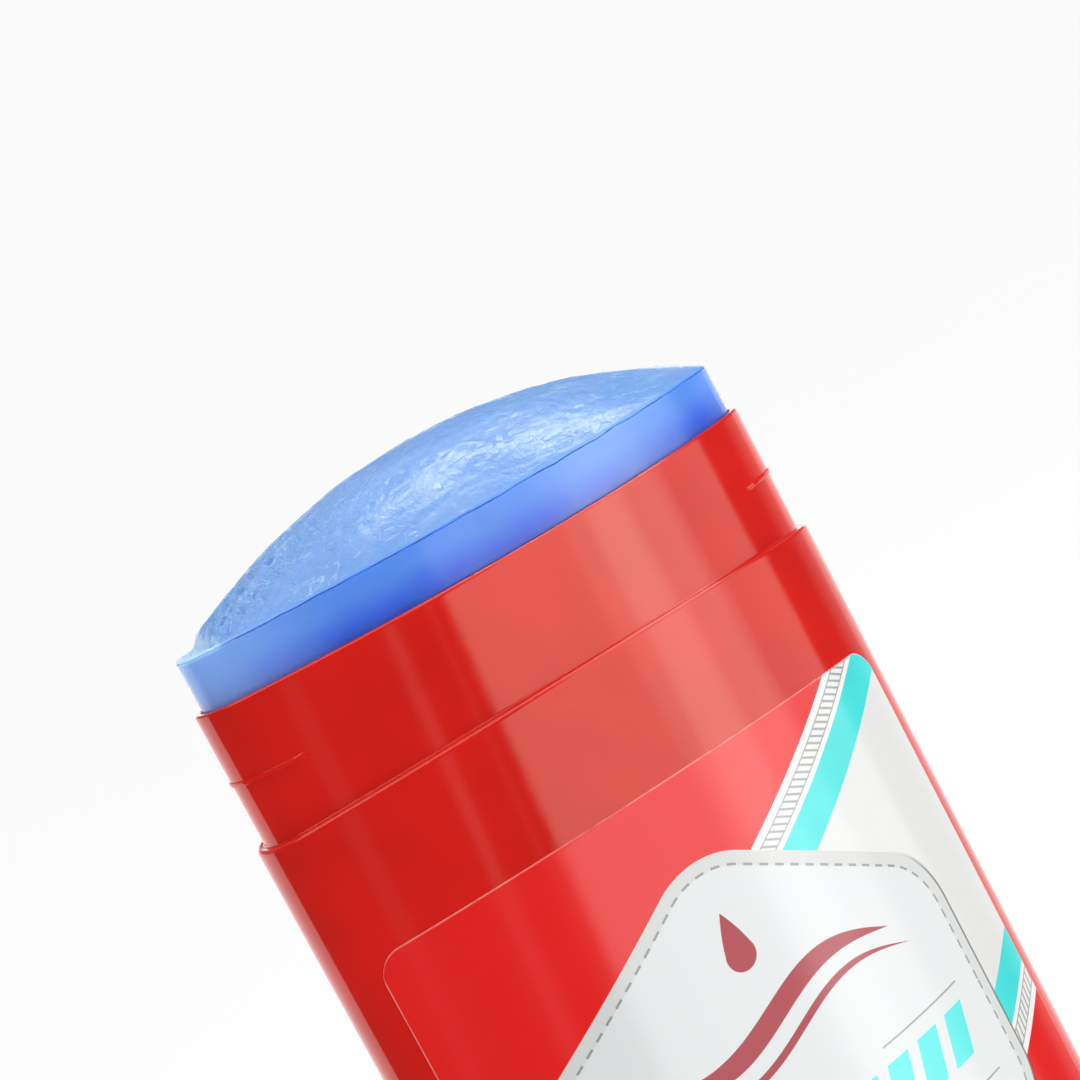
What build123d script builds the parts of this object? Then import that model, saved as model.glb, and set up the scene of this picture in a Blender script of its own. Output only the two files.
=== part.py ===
"""A twist-up deodorant stick in an oval case, with its domed cap standing beside it.

The frame: +Z up, the origin at the middle of the underside of the base, the front label facing -Y.
The gel is wound a little way out of the case. Everything is in millimetres.
"""

import os
from math import sqrt

from build123d import *

# The oval that the case, the base and the cap share: two end arcs and two flatter face arcs
case_width = 63.8  # across the narrow ends
case_depth = 28.0  # across the broad faces
end_radius = 6.6

# Case
case_height = 110.0  # underside of the base to the rim
collar_height = 11.9  # rim down to the shoulder, in the middle of the broad faces
collar_step = 0.9  # how far the collar stands in from the case
collar_wall = 0.7
shoulder_radius = 320.0  # the shoulder is arched, highest in the middle of the broad faces
rim_chamfer = 0.25
bead_drop = 7.0  # rim down to the middle of the snap bead
bead_height = 0.5
bead_proud = 0.2
bead_start = 25.3  # the bead runs round the narrow ends only, from this far out

# Thumb windows, front and back
window_room = 3.0  # beside the dial, where the dial passes through the wall of the case
window_corner = 2.5

# Base: a cage for the dial, pressed into the bottom of the case
base_flange = 2.4
base_wall = 1.3
base_deck = 1.8
base_fit = 0.05  # to the bore of the case
boss_gap = 0.3  # between the dial's boss and the hole in the flange that it shows through
cage_gap = 1.5  # between the dial and the side webs

# Dial
dial_radius = 15.0
dial_height = 6.8
dial_gap = 0.4  # above and below the dial
dial_rim = 1.8
dial_web = 1.5
dial_boss_radius = 8.0
dial_lift = 0.6  # underside of the boss above the foot of the base
dial_chamfer = 0.4
rib_count = 48
rib_groove = 0.45  # radius of the grooves between the ribs

# Screw spindle
key_across_flats = 6.0
key_depth = 5.5
key_fit = 0.03
journal_radius = 4.3
journal_clearance = 0.08
flange_radius = 6.8
flange_thickness = 1.2
axial_play = 0.2
stop_radius = 5.6  # plain collar that the elevator comes down to
stop_height = 4.8
thread_radius = 4.0  # over the crests
spindle_drop = 16.0  # rim of the case down to the top of the spindle
spindle_chamfer = 0.8

# Elevator, with the gel wound up by travel_down from the bottom of its travel
travel_down = 6.0
stop_gap = 0.4  # between the elevator's sleeve and the stop collar at the bottom of the travel
sleeve_radius = 6.2
sleeve_depth = 18.0
thread_clearance = 0.08
plate_thickness = 1.6
elevator_gap = 0.2  # to the bore of the case
elevator_wall = 0.9
lip_height = 3.0
skirt_depth = 12.0
stay_thickness = 1.0
stay_depth = 9.0

# Gel
gel_out = 5.1  # the gel's edge above the rim
gel_dome = 7.6
gel_gap = 0.15  # to the bore of the case
lip_fit = 0.05  # between the foot of the gel and the elevator's lip
spindle_room = 0.6  # round the spindle, and over its top at the bottom of the travel

# Cap
cap_fit = 0.1  # to the collar
cap_height = 20.0  # mouth to the edge of the dome, at the narrow ends
cap_dome = 10.5
cap_top = 1.2
cap_edge = 1.5
cap_apart = 9.0  # clear space between the stick and the cap
cap_back = 18.0  # how far back the middle of the cap stands

# Labels, front and back
label_thickness = 0.12
label_half_width = 28.9
label_bottom = 12.0
label_drop = 12.9  # crown of the shoulder down to the top of the label, in the middle
label_radius = 278.0  # of its arched top edge
label_corner = 2.6

# Sizes that follow from those above
half_width = case_width / 2
bore_inset = collar_step + collar_wall
shoulder_crown = case_height - collar_height
dial_z = base_flange + dial_gap
dial_top = dial_z + dial_height
deck_z = dial_top + dial_gap
deck_top = deck_z + base_deck
cage_half = dial_radius + cage_gap
window_half = sqrt(dial_radius**2 - (case_depth / 2 - bore_inset) ** 2) + window_room
spindle_flange_z = deck_top + axial_play
stop_z = spindle_flange_z + flange_thickness + stop_height
spindle_top = case_height - spindle_drop
sleeve_z = stop_z + stop_gap + travel_down
plate_z = sleeve_z + sleeve_depth
plate_top = plate_z + plate_thickness
lip_top = plate_top + lip_height
elevator_inset = bore_inset + elevator_gap
gel_inset = bore_inset + gel_gap
gel_foot_inset = elevator_inset + elevator_wall + lip_fit
gel_edge = case_height + gel_out
label_crown = shoulder_crown - label_drop
cap_wall = collar_step - cap_fit
cap_arch = shoulder_radius - sqrt(shoulder_radius**2 - half_width**2)
cap_bead_z = case_height - bead_drop - (shoulder_crown - cap_arch)
cap_x = -(half_width + cap_apart + case_depth / 2)
cap_plane = Plane(origin=(cap_x, cap_back, 0), x_dir=(0, 1, 0), z_dir=(0, 0, 1))
cap_face_plane = Plane(origin=(cap_x, cap_back, 0), x_dir=(0, 1, 0), z_dir=(1, 0, 0))
dome_rings = (1.0, 0.88, 0.74, 0.58, 0.4, 0.22, 0.08)  # the dome's level lines, as shares of its edge
beyond = 2.0  # how far a cutting shape runs past what it cuts


class Oval(BaseSketchObject):
    """The case's plan outline, moved inwards by inset all round, then scaled about its middle."""

    def __init__(self, inset=0.0, scale=1.0, mode=Mode.ADD):
        across = half_width - inset
        deep = case_depth / 2 - inset
        end = end_radius - inset
        centre = across - end
        face = (centre**2 + deep**2 - end**2) / (2 * (deep - end))
        # An end arc meets a face arc on the line through both their centres
        x = scale * centre * face / (face - end)
        y = scale * end * (face - deep) / (face - end)
        with BuildSketch() as oval:
            with BuildLine():
                ThreePointArc((x, -y), (scale * across, 0), (x, y))
                ThreePointArc((x, y), (0, scale * deep), (-x, y))
                ThreePointArc((-x, y), (-scale * across, 0), (-x, -y))
                ThreePointArc((-x, -y), (0, -scale * deep), (x, -y))
            make_face()
        super().__init__(oval.sketch, mode=mode)


class ArchedPanel(BaseSketchObject):
    """A panel with a level foot and an arched top, its corners rounded if corner is given."""

    def __init__(self, half, foot, crown, radius, corner=0.0, mode=Mode.ADD):
        spring = crown - radius + sqrt(radius**2 - half**2)
        with BuildSketch() as panel:
            with BuildLine():
                Polyline((-half, spring), (-half, foot), (half, foot), (half, spring))
                ThreePointArc((half, spring), (0, crown), (-half, spring))
            make_face()
            if corner:
                fillet(panel.vertices(), radius=corner)
        super().__init__(panel.sketch, mode=mode)


class Dome(BasePartObject):
    """A dome on the oval: it falls away from its middle as the square of the way to its edge."""

    def __init__(self, plane, inset, rise, mode=Mode.ADD):
        with BuildPart() as dome:
            for ring in dome_rings:
                with BuildSketch(plane.offset(rise * (1 - ring**2))):
                    Oval(inset, scale=ring)
            loft()
        super().__init__(dome.part, mode=mode)


os.makedirs("parts", exist_ok=True)

# Case: body, shoulder and collar in one moulding, open right through
with BuildPart() as case:
    with BuildSketch(Plane.XY.offset(base_flange)):
        Oval()
    extrude(amount=case_height - base_flange)
    with BuildSketch(Plane.XZ):
        ArchedPanel(half_width + beyond, 0, shoulder_crown, shoulder_radius)
    extrude(amount=case_depth, both=True, mode=Mode.INTERSECT)
    with BuildSketch(Plane.XY.offset(base_flange)):
        Oval(collar_step)
    extrude(amount=case_height - base_flange)
    chamfer(case.edges().group_by(Axis.Z)[-1], length=rim_chamfer)
    with BuildSketch(Plane.XY.offset(case_height - bead_drop - bead_height / 2)):
        Oval(collar_step - bead_proud)
        Rectangle(2 * bead_start, case_depth, mode=Mode.SUBTRACT)
    extrude(amount=bead_height)
    with BuildSketch(Plane.XY.offset(base_flange)):
        Oval(bore_inset)
    extrude(amount=case_height - base_flange, mode=Mode.SUBTRACT)
    with BuildSketch(Plane.XZ) as window:
        with Locations((0, base_flange)):
            Rectangle(2 * window_half, 2 * (deck_z - base_flange))
        fillet(window.vertices().group_by(Axis.Y)[-1], radius=window_corner)
    extrude(amount=case_depth, both=True, mode=Mode.SUBTRACT)
case.part.label = "case"
export_step(case.part, "parts/case.step")

# Base: a flange flush with the case, and above it a cage open to the front and the back
with BuildPart() as base:
    with BuildSketch():
        Oval()
    extrude(amount=base_flange)
    with BuildSketch(Plane.XY.offset(base_flange)):
        Oval(bore_inset + base_fit)
    extrude(amount=deck_top - base_flange)
    with BuildSketch(Plane.XY.offset(base_flange)):
        Rectangle(2 * cage_half, case_depth)
    extrude(amount=deck_z - base_flange, mode=Mode.SUBTRACT)
    with BuildSketch():
        Oval(bore_inset + base_fit + base_wall)
        Rectangle(2 * (cage_half + base_wall), case_depth, mode=Mode.SUBTRACT)
    extrude(amount=deck_z, mode=Mode.SUBTRACT)
    with BuildSketch():
        Circle(dial_boss_radius + boss_gap)
    extrude(amount=base_flange, mode=Mode.SUBTRACT)
    with BuildSketch(Plane.XY.offset(deck_z)):
        Circle(journal_radius + journal_clearance)
    extrude(amount=base_deck, mode=Mode.SUBTRACT)
base.part.label = "base"
export_step(base.part, "parts/base.step")

# Dial: a ribbed wheel, hollow underneath, with a boss that shows through the base
with BuildPart() as dial:
    with BuildSketch(Plane.XY.offset(dial_z)):
        Circle(dial_radius)
    extrude(amount=dial_height)
    chamfer(dial.edges(), length=dial_chamfer)
    with BuildSketch(Plane.XY.offset(dial_z)):
        with PolarLocations(dial_radius, rib_count):
            Circle(rib_groove)
    extrude(amount=dial_height, mode=Mode.SUBTRACT)
    with BuildSketch(Plane.XY.offset(dial_z)):
        Circle(dial_radius - dial_rim)
        Circle(dial_boss_radius, mode=Mode.SUBTRACT)
    extrude(amount=dial_height - dial_web, mode=Mode.SUBTRACT)
    with BuildSketch(Plane.XY.offset(dial_lift)):
        Circle(dial_boss_radius)
    extrude(amount=dial_z - dial_lift)
    chamfer(dial.edges().group_by(Axis.Z)[0], length=dial_chamfer)
    with BuildSketch(Plane.XY.offset(dial_top)):
        RegularPolygon(key_across_flats / 2 + key_fit, 6, major_radius=False)
    extrude(amount=-(key_depth + key_fit), mode=Mode.SUBTRACT)
dial.part.label = "dial"
export_step(dial.part, "parts/dial.step")

# Screw spindle: the key in the dial, the journal in the base, a flange, the stop and the screw
with BuildPart() as screw_spindle:
    with BuildSketch(Plane.XY.offset(dial_top)):
        RegularPolygon(key_across_flats / 2, 6, major_radius=False)
    extrude(amount=-key_depth)
    with BuildSketch(Plane.XY.offset(dial_top)):
        Circle(journal_radius)
    extrude(amount=spindle_flange_z - dial_top)
    with BuildSketch(Plane.XY.offset(spindle_flange_z)):
        Circle(flange_radius)
    extrude(amount=flange_thickness)
    with BuildSketch(Plane.XY.offset(spindle_flange_z + flange_thickness)):
        Circle(stop_radius)
    extrude(amount=stop_height)
    with BuildSketch(Plane.XY.offset(stop_z)):
        Circle(thread_radius)
    extrude(amount=spindle_top - stop_z)
    chamfer(screw_spindle.edges().group_by(Axis.Z)[-1], length=spindle_chamfer)
screw_spindle.part.label = "screw_spindle"
export_step(screw_spindle.part, "parts/screw_spindle.step")

# Elevator: a plate with a lip round the gel, a skirt that guides it, and the threaded sleeve
with BuildPart() as elevator:
    with BuildSketch(Plane.XY.offset(plate_z - skirt_depth)):
        Oval(elevator_inset)
    extrude(amount=skirt_depth + plate_thickness + lip_height)
    with BuildSketch(Plane.XY.offset(plate_top)):
        Oval(elevator_inset + elevator_wall)
    extrude(amount=lip_height, mode=Mode.SUBTRACT)
    with BuildSketch(Plane.XY.offset(plate_z)):
        Oval(elevator_inset + elevator_wall)
    extrude(amount=-skirt_depth, mode=Mode.SUBTRACT)
    with BuildSketch(Plane.XY.offset(plate_z)) as stays:
        Rectangle(case_width, stay_thickness)
        Rectangle(stay_thickness, case_depth)
        Oval(elevator_inset + elevator_wall, mode=Mode.INTERSECT)
    extrude(amount=-stay_depth)
    with BuildSketch(Plane.XY.offset(plate_z)):
        Circle(sleeve_radius)
    extrude(amount=-sleeve_depth)
    with BuildSketch(Plane.XY.offset(sleeve_z)):
        Circle(thread_radius + thread_clearance)
    extrude(amount=sleeve_depth + plate_thickness, mode=Mode.SUBTRACT)
elevator.part.label = "elevator"
export_step(elevator.part, "parts/elevator.step")

# Gel stick: its foot inside the elevator's lip, a straight wall, a dome, and room for the spindle
with BuildPart() as gel_stick:
    with BuildSketch(Plane.XY.offset(plate_top)):
        Oval(gel_foot_inset)
    extrude(amount=lip_height + lip_fit)
    with BuildSketch(Plane.XY.offset(lip_top + lip_fit)):
        Oval(gel_inset)
    extrude(amount=gel_edge - lip_top - lip_fit)
    Dome(Plane.XY.offset(gel_edge), gel_inset, gel_dome)
    with BuildSketch(Plane.XY.offset(plate_top)):
        Circle(thread_radius + spindle_room)
    extrude(amount=spindle_top + travel_down + spindle_room - plate_top, mode=Mode.SUBTRACT)
gel_stick.part.label = "gel_stick"
export_step(gel_stick.part, "parts/gel_stick.step")

# Cap: one thin moulding, standing on its mouth, which is arched to sit on the shoulder
with BuildPart() as cap:
    with BuildSketch(cap_plane):
        Oval()
    extrude(amount=cap_height)
    Dome(cap_plane.offset(cap_height), 0, cap_dome)
    fillet(cap.edges().filter_by_position(Axis.Z, cap_height, cap_height), radius=cap_edge)
    with BuildSketch(cap_plane):
        Oval(cap_wall)
    extrude(amount=cap_height - cap_top, mode=Mode.SUBTRACT)
    Dome(cap_plane.offset(cap_height - cap_top), cap_wall, cap_dome, mode=Mode.SUBTRACT)
    with BuildSketch(cap_plane.offset(cap_bead_z - bead_height / 2 - cap_fit)):
        Oval(cap_wall - bead_proud)
        Rectangle(2 * (bead_start - cap_fit), case_depth, mode=Mode.SUBTRACT)
    extrude(amount=bead_height + 2 * cap_fit, mode=Mode.SUBTRACT)
    with BuildSketch(cap_face_plane):
        ArchedPanel(half_width + beyond, -beyond, cap_arch, shoulder_radius)
    extrude(amount=case_depth, both=True, mode=Mode.SUBTRACT)
cap.part.label = "cap"
export_step(cap.part, "parts/cap.step")

# Labels: thin skins on the broad faces, wrapped a little way round the ends
for name, side in (("front_label", 1), ("back_label", -1)):
    with BuildPart() as skin:
        with BuildSketch(Plane.XY.offset(label_bottom - beyond)):
            Oval(-label_thickness)
            Oval(mode=Mode.SUBTRACT)
        extrude(amount=label_crown - label_bottom + 2 * beyond)
        with BuildSketch(Plane.XZ):
            ArchedPanel(label_half_width, label_bottom, label_crown, label_radius, label_corner)
        extrude(amount=side * case_depth, mode=Mode.INTERSECT)
    skin.part.label = name
    export_step(skin.part, f"parts/{name}.step")
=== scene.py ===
"""The looks of a twist-up deodorant stick: an oval red case, a blue gel with a domed end, and its cap.

Every piece is a surface worked out with numpy in millimetres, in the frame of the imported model, and
put into its mesh in metres. The outline that the pieces share is an oval of four tangent arcs. A
place on it is told by its heading: the direction of the outline's normal, in radians, counted from
-Y (the front) towards +X.
"""

import logging
from dataclasses import dataclass
from enum import Enum, IntEnum
from math import atan, cos, pi, radians, sin, sqrt

import bmesh
import bpy
import numpy as np
from mathutils import Matrix, Vector


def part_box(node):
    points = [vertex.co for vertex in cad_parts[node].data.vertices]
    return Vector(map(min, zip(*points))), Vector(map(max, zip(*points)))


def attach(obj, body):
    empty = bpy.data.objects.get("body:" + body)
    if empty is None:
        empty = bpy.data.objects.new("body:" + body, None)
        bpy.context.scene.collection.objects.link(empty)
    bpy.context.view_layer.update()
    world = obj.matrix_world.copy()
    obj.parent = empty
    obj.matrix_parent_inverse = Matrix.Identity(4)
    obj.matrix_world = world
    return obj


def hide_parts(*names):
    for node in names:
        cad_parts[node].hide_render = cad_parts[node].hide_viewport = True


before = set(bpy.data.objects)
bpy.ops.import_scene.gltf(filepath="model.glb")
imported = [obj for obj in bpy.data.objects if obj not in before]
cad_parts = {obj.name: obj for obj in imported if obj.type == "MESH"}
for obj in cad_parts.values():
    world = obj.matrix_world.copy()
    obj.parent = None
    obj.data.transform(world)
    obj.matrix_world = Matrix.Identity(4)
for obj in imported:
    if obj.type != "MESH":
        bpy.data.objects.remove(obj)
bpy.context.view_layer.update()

MM = 0.001
log = logging.getLogger("deodorant_stick")

Colour = tuple[float, float, float]


def linear(red: int, green: int, blue: int) -> Colour:
    """Turns a colour of 0 to 255 a channel into the linear numbers that a shader takes.

    Formula: a channel c of 0 to 1 becomes ((c + 0.055) / 1.055) to the power 2.4, or c / 12.92
    where it is very dark.

    Args:
        red: the red channel, 0 to 255.
        green: the green channel.
        blue: the blue channel.

    Returns:
        The three channels as linear numbers of 0 to 1.
    """
    shares = np.array([red, green, blue]) / 255
    light = np.where(shares > 0.04045, ((shares + 0.055) / 1.055) ** 2.4, shares / 12.92)
    return tuple(float(c) for c in light)


def node_box(name: str) -> tuple[np.ndarray, np.ndarray]:
    """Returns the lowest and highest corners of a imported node, in millimetres."""
    low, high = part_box(name)
    return np.array(low) / MM, np.array(high) / MM


# ---------------------------------------------------------------------------------------------
# Fields: numbers that vary over a surface, written as arithmetic and built as Math nodes
# ---------------------------------------------------------------------------------------------


class Field:
    """A number that varies over a surface: arithmetic on it adds Math nodes to its tree."""

    def __init__(self, tree: bpy.types.NodeTree, value: object) -> None:
        """Wraps a socket, or a plain number, of a node tree."""
        self.tree = tree
        self.value = value

    def math(self, operation: str, *others: object) -> "Field":
        """Adds one Math node.

        Args:
            operation: the node's operation, such as "ADD".
            others: the second and third operands, each a Field or a number.

        Returns:
            The node's result as a new field.
        """
        node = self.tree.nodes.new("ShaderNodeMath")
        node.operation = operation
        for socket, operand in zip(node.inputs, (self, *others)):
            feed(self.tree, socket, operand)
        return Field(self.tree, node.outputs[0])

    def __add__(self, other: object) -> "Field":
        """Returns self + other."""
        return self.math("ADD", other)

    __radd__ = __add__

    def __sub__(self, other: object) -> "Field":
        """Returns self - other."""
        return self.math("SUBTRACT", other)

    def __rsub__(self, other: float) -> "Field":
        """Returns other - self."""
        return Field(self.tree, other).math("SUBTRACT", self)

    def __mul__(self, other: object) -> "Field":
        """Returns self * other."""
        return self.math("MULTIPLY", other)

    __rmul__ = __mul__

    def __truediv__(self, other: object) -> "Field":
        """Returns self / other."""
        return self.math("DIVIDE", other)

    def __abs__(self) -> "Field":
        """Returns the size of self without its sign."""
        return self.math("ABSOLUTE")

    def least(self, other: object) -> "Field":
        """Returns the lesser of self and other."""
        return self.math("MINIMUM", other)

    def most(self, other: object) -> "Field":
        """Returns the greater of self and other."""
        return self.math("MAXIMUM", other)

    def between(self, low: object, high: object) -> "Field":
        """Returns self kept between low and high."""
        return self.most(low).least(high)

    def sine(self) -> "Field":
        """Returns the sine of self, in radians."""
        return self.math("SINE")

    def root(self) -> "Field":
        """Returns the square root of self."""
        return self.math("SQRT")

    def heading(self, other: object) -> "Field":
        """Returns the angle whose tangent is self / other, in radians, over the full turn."""
        return self.math("ARCTAN2", other)

    def cycle(self, period: float) -> "Field":
        """Returns how far self is from the nearest multiple of period."""
        return self.math("PINGPONG", period / 2)

    def above(self, edge: object, soft: float) -> "Field":
        """Makes an S curve of 3t^2 - 2t^3 over an edge.

        Args:
            edge: where the curve is halfway, a field or a number.
            soft: half the width of the curve.

        Returns:
            0 where self is well under the edge, and 1 where it is well over it.
        """
        node = self.tree.nodes.new("ShaderNodeMapRange")
        node.interpolation_type = "SMOOTHSTEP"
        feed(self.tree, node.inputs["Value"], self - edge)
        node.inputs["From Min"].default_value = -soft
        node.inputs["From Max"].default_value = soft
        return Field(self.tree, node.outputs["Result"])

    def below(self, edge: object, soft: float) -> "Field":
        """Returns 1 where self is under the edge and 0 over it."""
        return 1.0 - self.above(edge, soft)


def feed(tree: bpy.types.NodeTree, socket: bpy.types.NodeSocket, value: object) -> None:
    """Links a field or a socket to an input, or sets the input to a plain number or colour.

    Args:
        tree: the node tree that the input is in.
        socket: the input.
        value: a field, a socket, a number, or a colour of three or four channels.
    """
    source = value.value if isinstance(value, Field) else value
    if isinstance(source, bpy.types.NodeSocket):
        tree.links.new(source, socket)
    elif isinstance(source, (int, float)):
        socket.default_value = source
    else:
        socket.default_value = (*source, 1.0)[: len(socket.default_value)]


class Paint:
    """A node tree being painted: noise, mixes of colour, and bumps."""

    def __init__(self, tree: bpy.types.NodeTree) -> None:
        """Starts painting in a node tree."""
        self.tree = tree

    def new(self, kind: str, **settings: object) -> bpy.types.Node:
        """Adds a node and sets its properties.

        Args:
            kind: the node's type.
            **settings: the properties, by name.

        Returns:
            The node.
        """
        node = self.tree.nodes.new(kind)
        for name, value in settings.items():
            setattr(node, name, value)
        return node

    def place(self) -> bpy.types.NodeSocket:
        """Returns the Object coordinates, in metres."""
        return self.new("ShaderNodeTexCoord").outputs["Object"]

    def stretched(self, scale: tuple[float, float, float]) -> bpy.types.NodeSocket:
        """Scales the Object coordinates, which draws a pattern out.

        Args:
            scale: the factor along X, Y and Z. Under 1 draws the pattern out.

        Returns:
            The scaled coordinates' socket.
        """
        node = self.new("ShaderNodeMapping")
        node.inputs["Scale"].default_value = scale
        self.tree.links.new(self.place(), node.inputs["Vector"])
        return node.outputs[0]

    def split(self, vector: bpy.types.NodeSocket) -> tuple[Field, Field, Field]:
        """Takes a vector apart.

        Args:
            vector: the socket of a vector.

        Returns:
            Its X, Y and Z as fields.
        """
        node = self.new("ShaderNodeSeparateXYZ")
        self.tree.links.new(vector, node.inputs[0])
        return tuple(Field(self.tree, out) for out in node.outputs)

    def mix(self, share: Field, first: object, second: object) -> bpy.types.NodeSocket:
        """Mixes two colours.

        Args:
            share: 0 shows the first colour and 1 the second.
            first: a colour or a colour socket.
            second: a colour or a colour socket.

        Returns:
            The mixed colour's socket.
        """
        node = self.new("ShaderNodeMix", data_type="RGBA")
        feed(self.tree, node.inputs[0], share)
        feed(self.tree, node.inputs[6], first)
        feed(self.tree, node.inputs[7], second)
        return node.outputs[2]

    def noise(
        self, size: float, detail: float = 2.0, place: object = None, warp: float = 0.0
    ) -> Field:
        """Adds a noise.

        Args:
            size: the size of its features, in millimetres.
            detail: how many finer layers it has.
            place: the coordinates it reads, in metres; the Object coordinates if not given.
            warp: how much it is swirled.

        Returns:
            The noise, from 0 to 1 with its middle at 0.5.
        """
        node = self.new("ShaderNodeTexNoise")
        self.tree.links.new(place or self.place(), node.inputs["Vector"])
        node.inputs["Scale"].default_value = 1 / (size * MM)
        node.inputs["Detail"].default_value = detail
        node.inputs["Distortion"].default_value = warp
        return Field(self.tree, node.outputs[0])

    def bump(self, height: Field, millimetres: float, onto: object = None) -> bpy.types.NodeSocket:
        """Adds a bump.

        Args:
            height: the height of the relief, as a share of the next argument.
            millimetres: the height that 1 stands for.
            onto: another bump's socket, which this one is laid over.

        Returns:
            The bent normal's socket.
        """
        node = self.new("ShaderNodeBump")
        node.inputs["Strength"].default_value = 1.0
        node.inputs["Distance"].default_value = millimetres * MM
        feed(self.tree, node.inputs["Height"], height)
        if onto is not None:
            self.tree.links.new(onto, node.inputs["Normal"])
        return node.outputs[0]

    def dress(self, shader: bpy.types.Node, settings: dict[str, object]) -> None:
        """Feeds a shader's inputs, by name, with sockets, fields, plain numbers or colours."""
        for name, value in settings.items():
            feed(self.tree, shader.inputs[name], value)


# ---------------------------------------------------------------------------------------------
# Finishes
# ---------------------------------------------------------------------------------------------


def new_material(name: str) -> tuple[bpy.types.Material, Paint, bpy.types.Node]:
    """Makes a material.

    Args:
        name: the material's name.

    Returns:
        The material, its paint, and its Principled shader.
    """
    material = bpy.data.materials.new(name)
    material.use_nodes = True
    return material, Paint(material.node_tree), material.node_tree.nodes["Principled BSDF"]


@dataclass(frozen=True)
class MouldedPlastic:
    """A glossy moulded plastic: faint cloudiness, fine ripples in its skin and a slight glow.

    Attributes:
        name: the material's name.
        colour: its linear colour.
        gloss: its roughness where it is smoothest.
        ripple: the height of the ripples of its skin, in millimetres.
        glow: the share of light that passes under its skin.
        reach: how far that light goes, in millimetres.
    """

    name: str
    colour: Colour
    gloss: float = 0.05
    ripple: float = 0.005
    glow: float = 0.12
    reach: float = 0.9

    def material(self) -> bpy.types.Material:
        """Builds the material.

        Returns:
            The material, whose patterns lie in Object coordinates.
        """
        material, paint, shader = new_material(self.name)
        deeper = tuple(0.86 * c for c in self.colour)
        clouds = paint.noise(9.0).above(0.5, 0.3)
        waves = paint.bump(paint.noise(3.4, 1.0), self.ripple)
        skin = paint.bump(paint.noise(0.22, 2.0), self.ripple / 8, onto=waves)
        paint.dress(
            shader,
            {
                "Base Color": paint.mix(clouds, self.colour, deeper),
                "Roughness": self.gloss + 0.06 * paint.noise(2.2, 4.0),
                "Normal": skin,
                "IOR": 1.49,
                "Specular Tint": (1.0, 0.97, 0.82),
                "Subsurface Weight": self.glow,
                "Subsurface Radius": (1.0, 0.25, 0.18),
                "Subsurface Scale": self.reach * MM,
            },
        )
        return material


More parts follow.
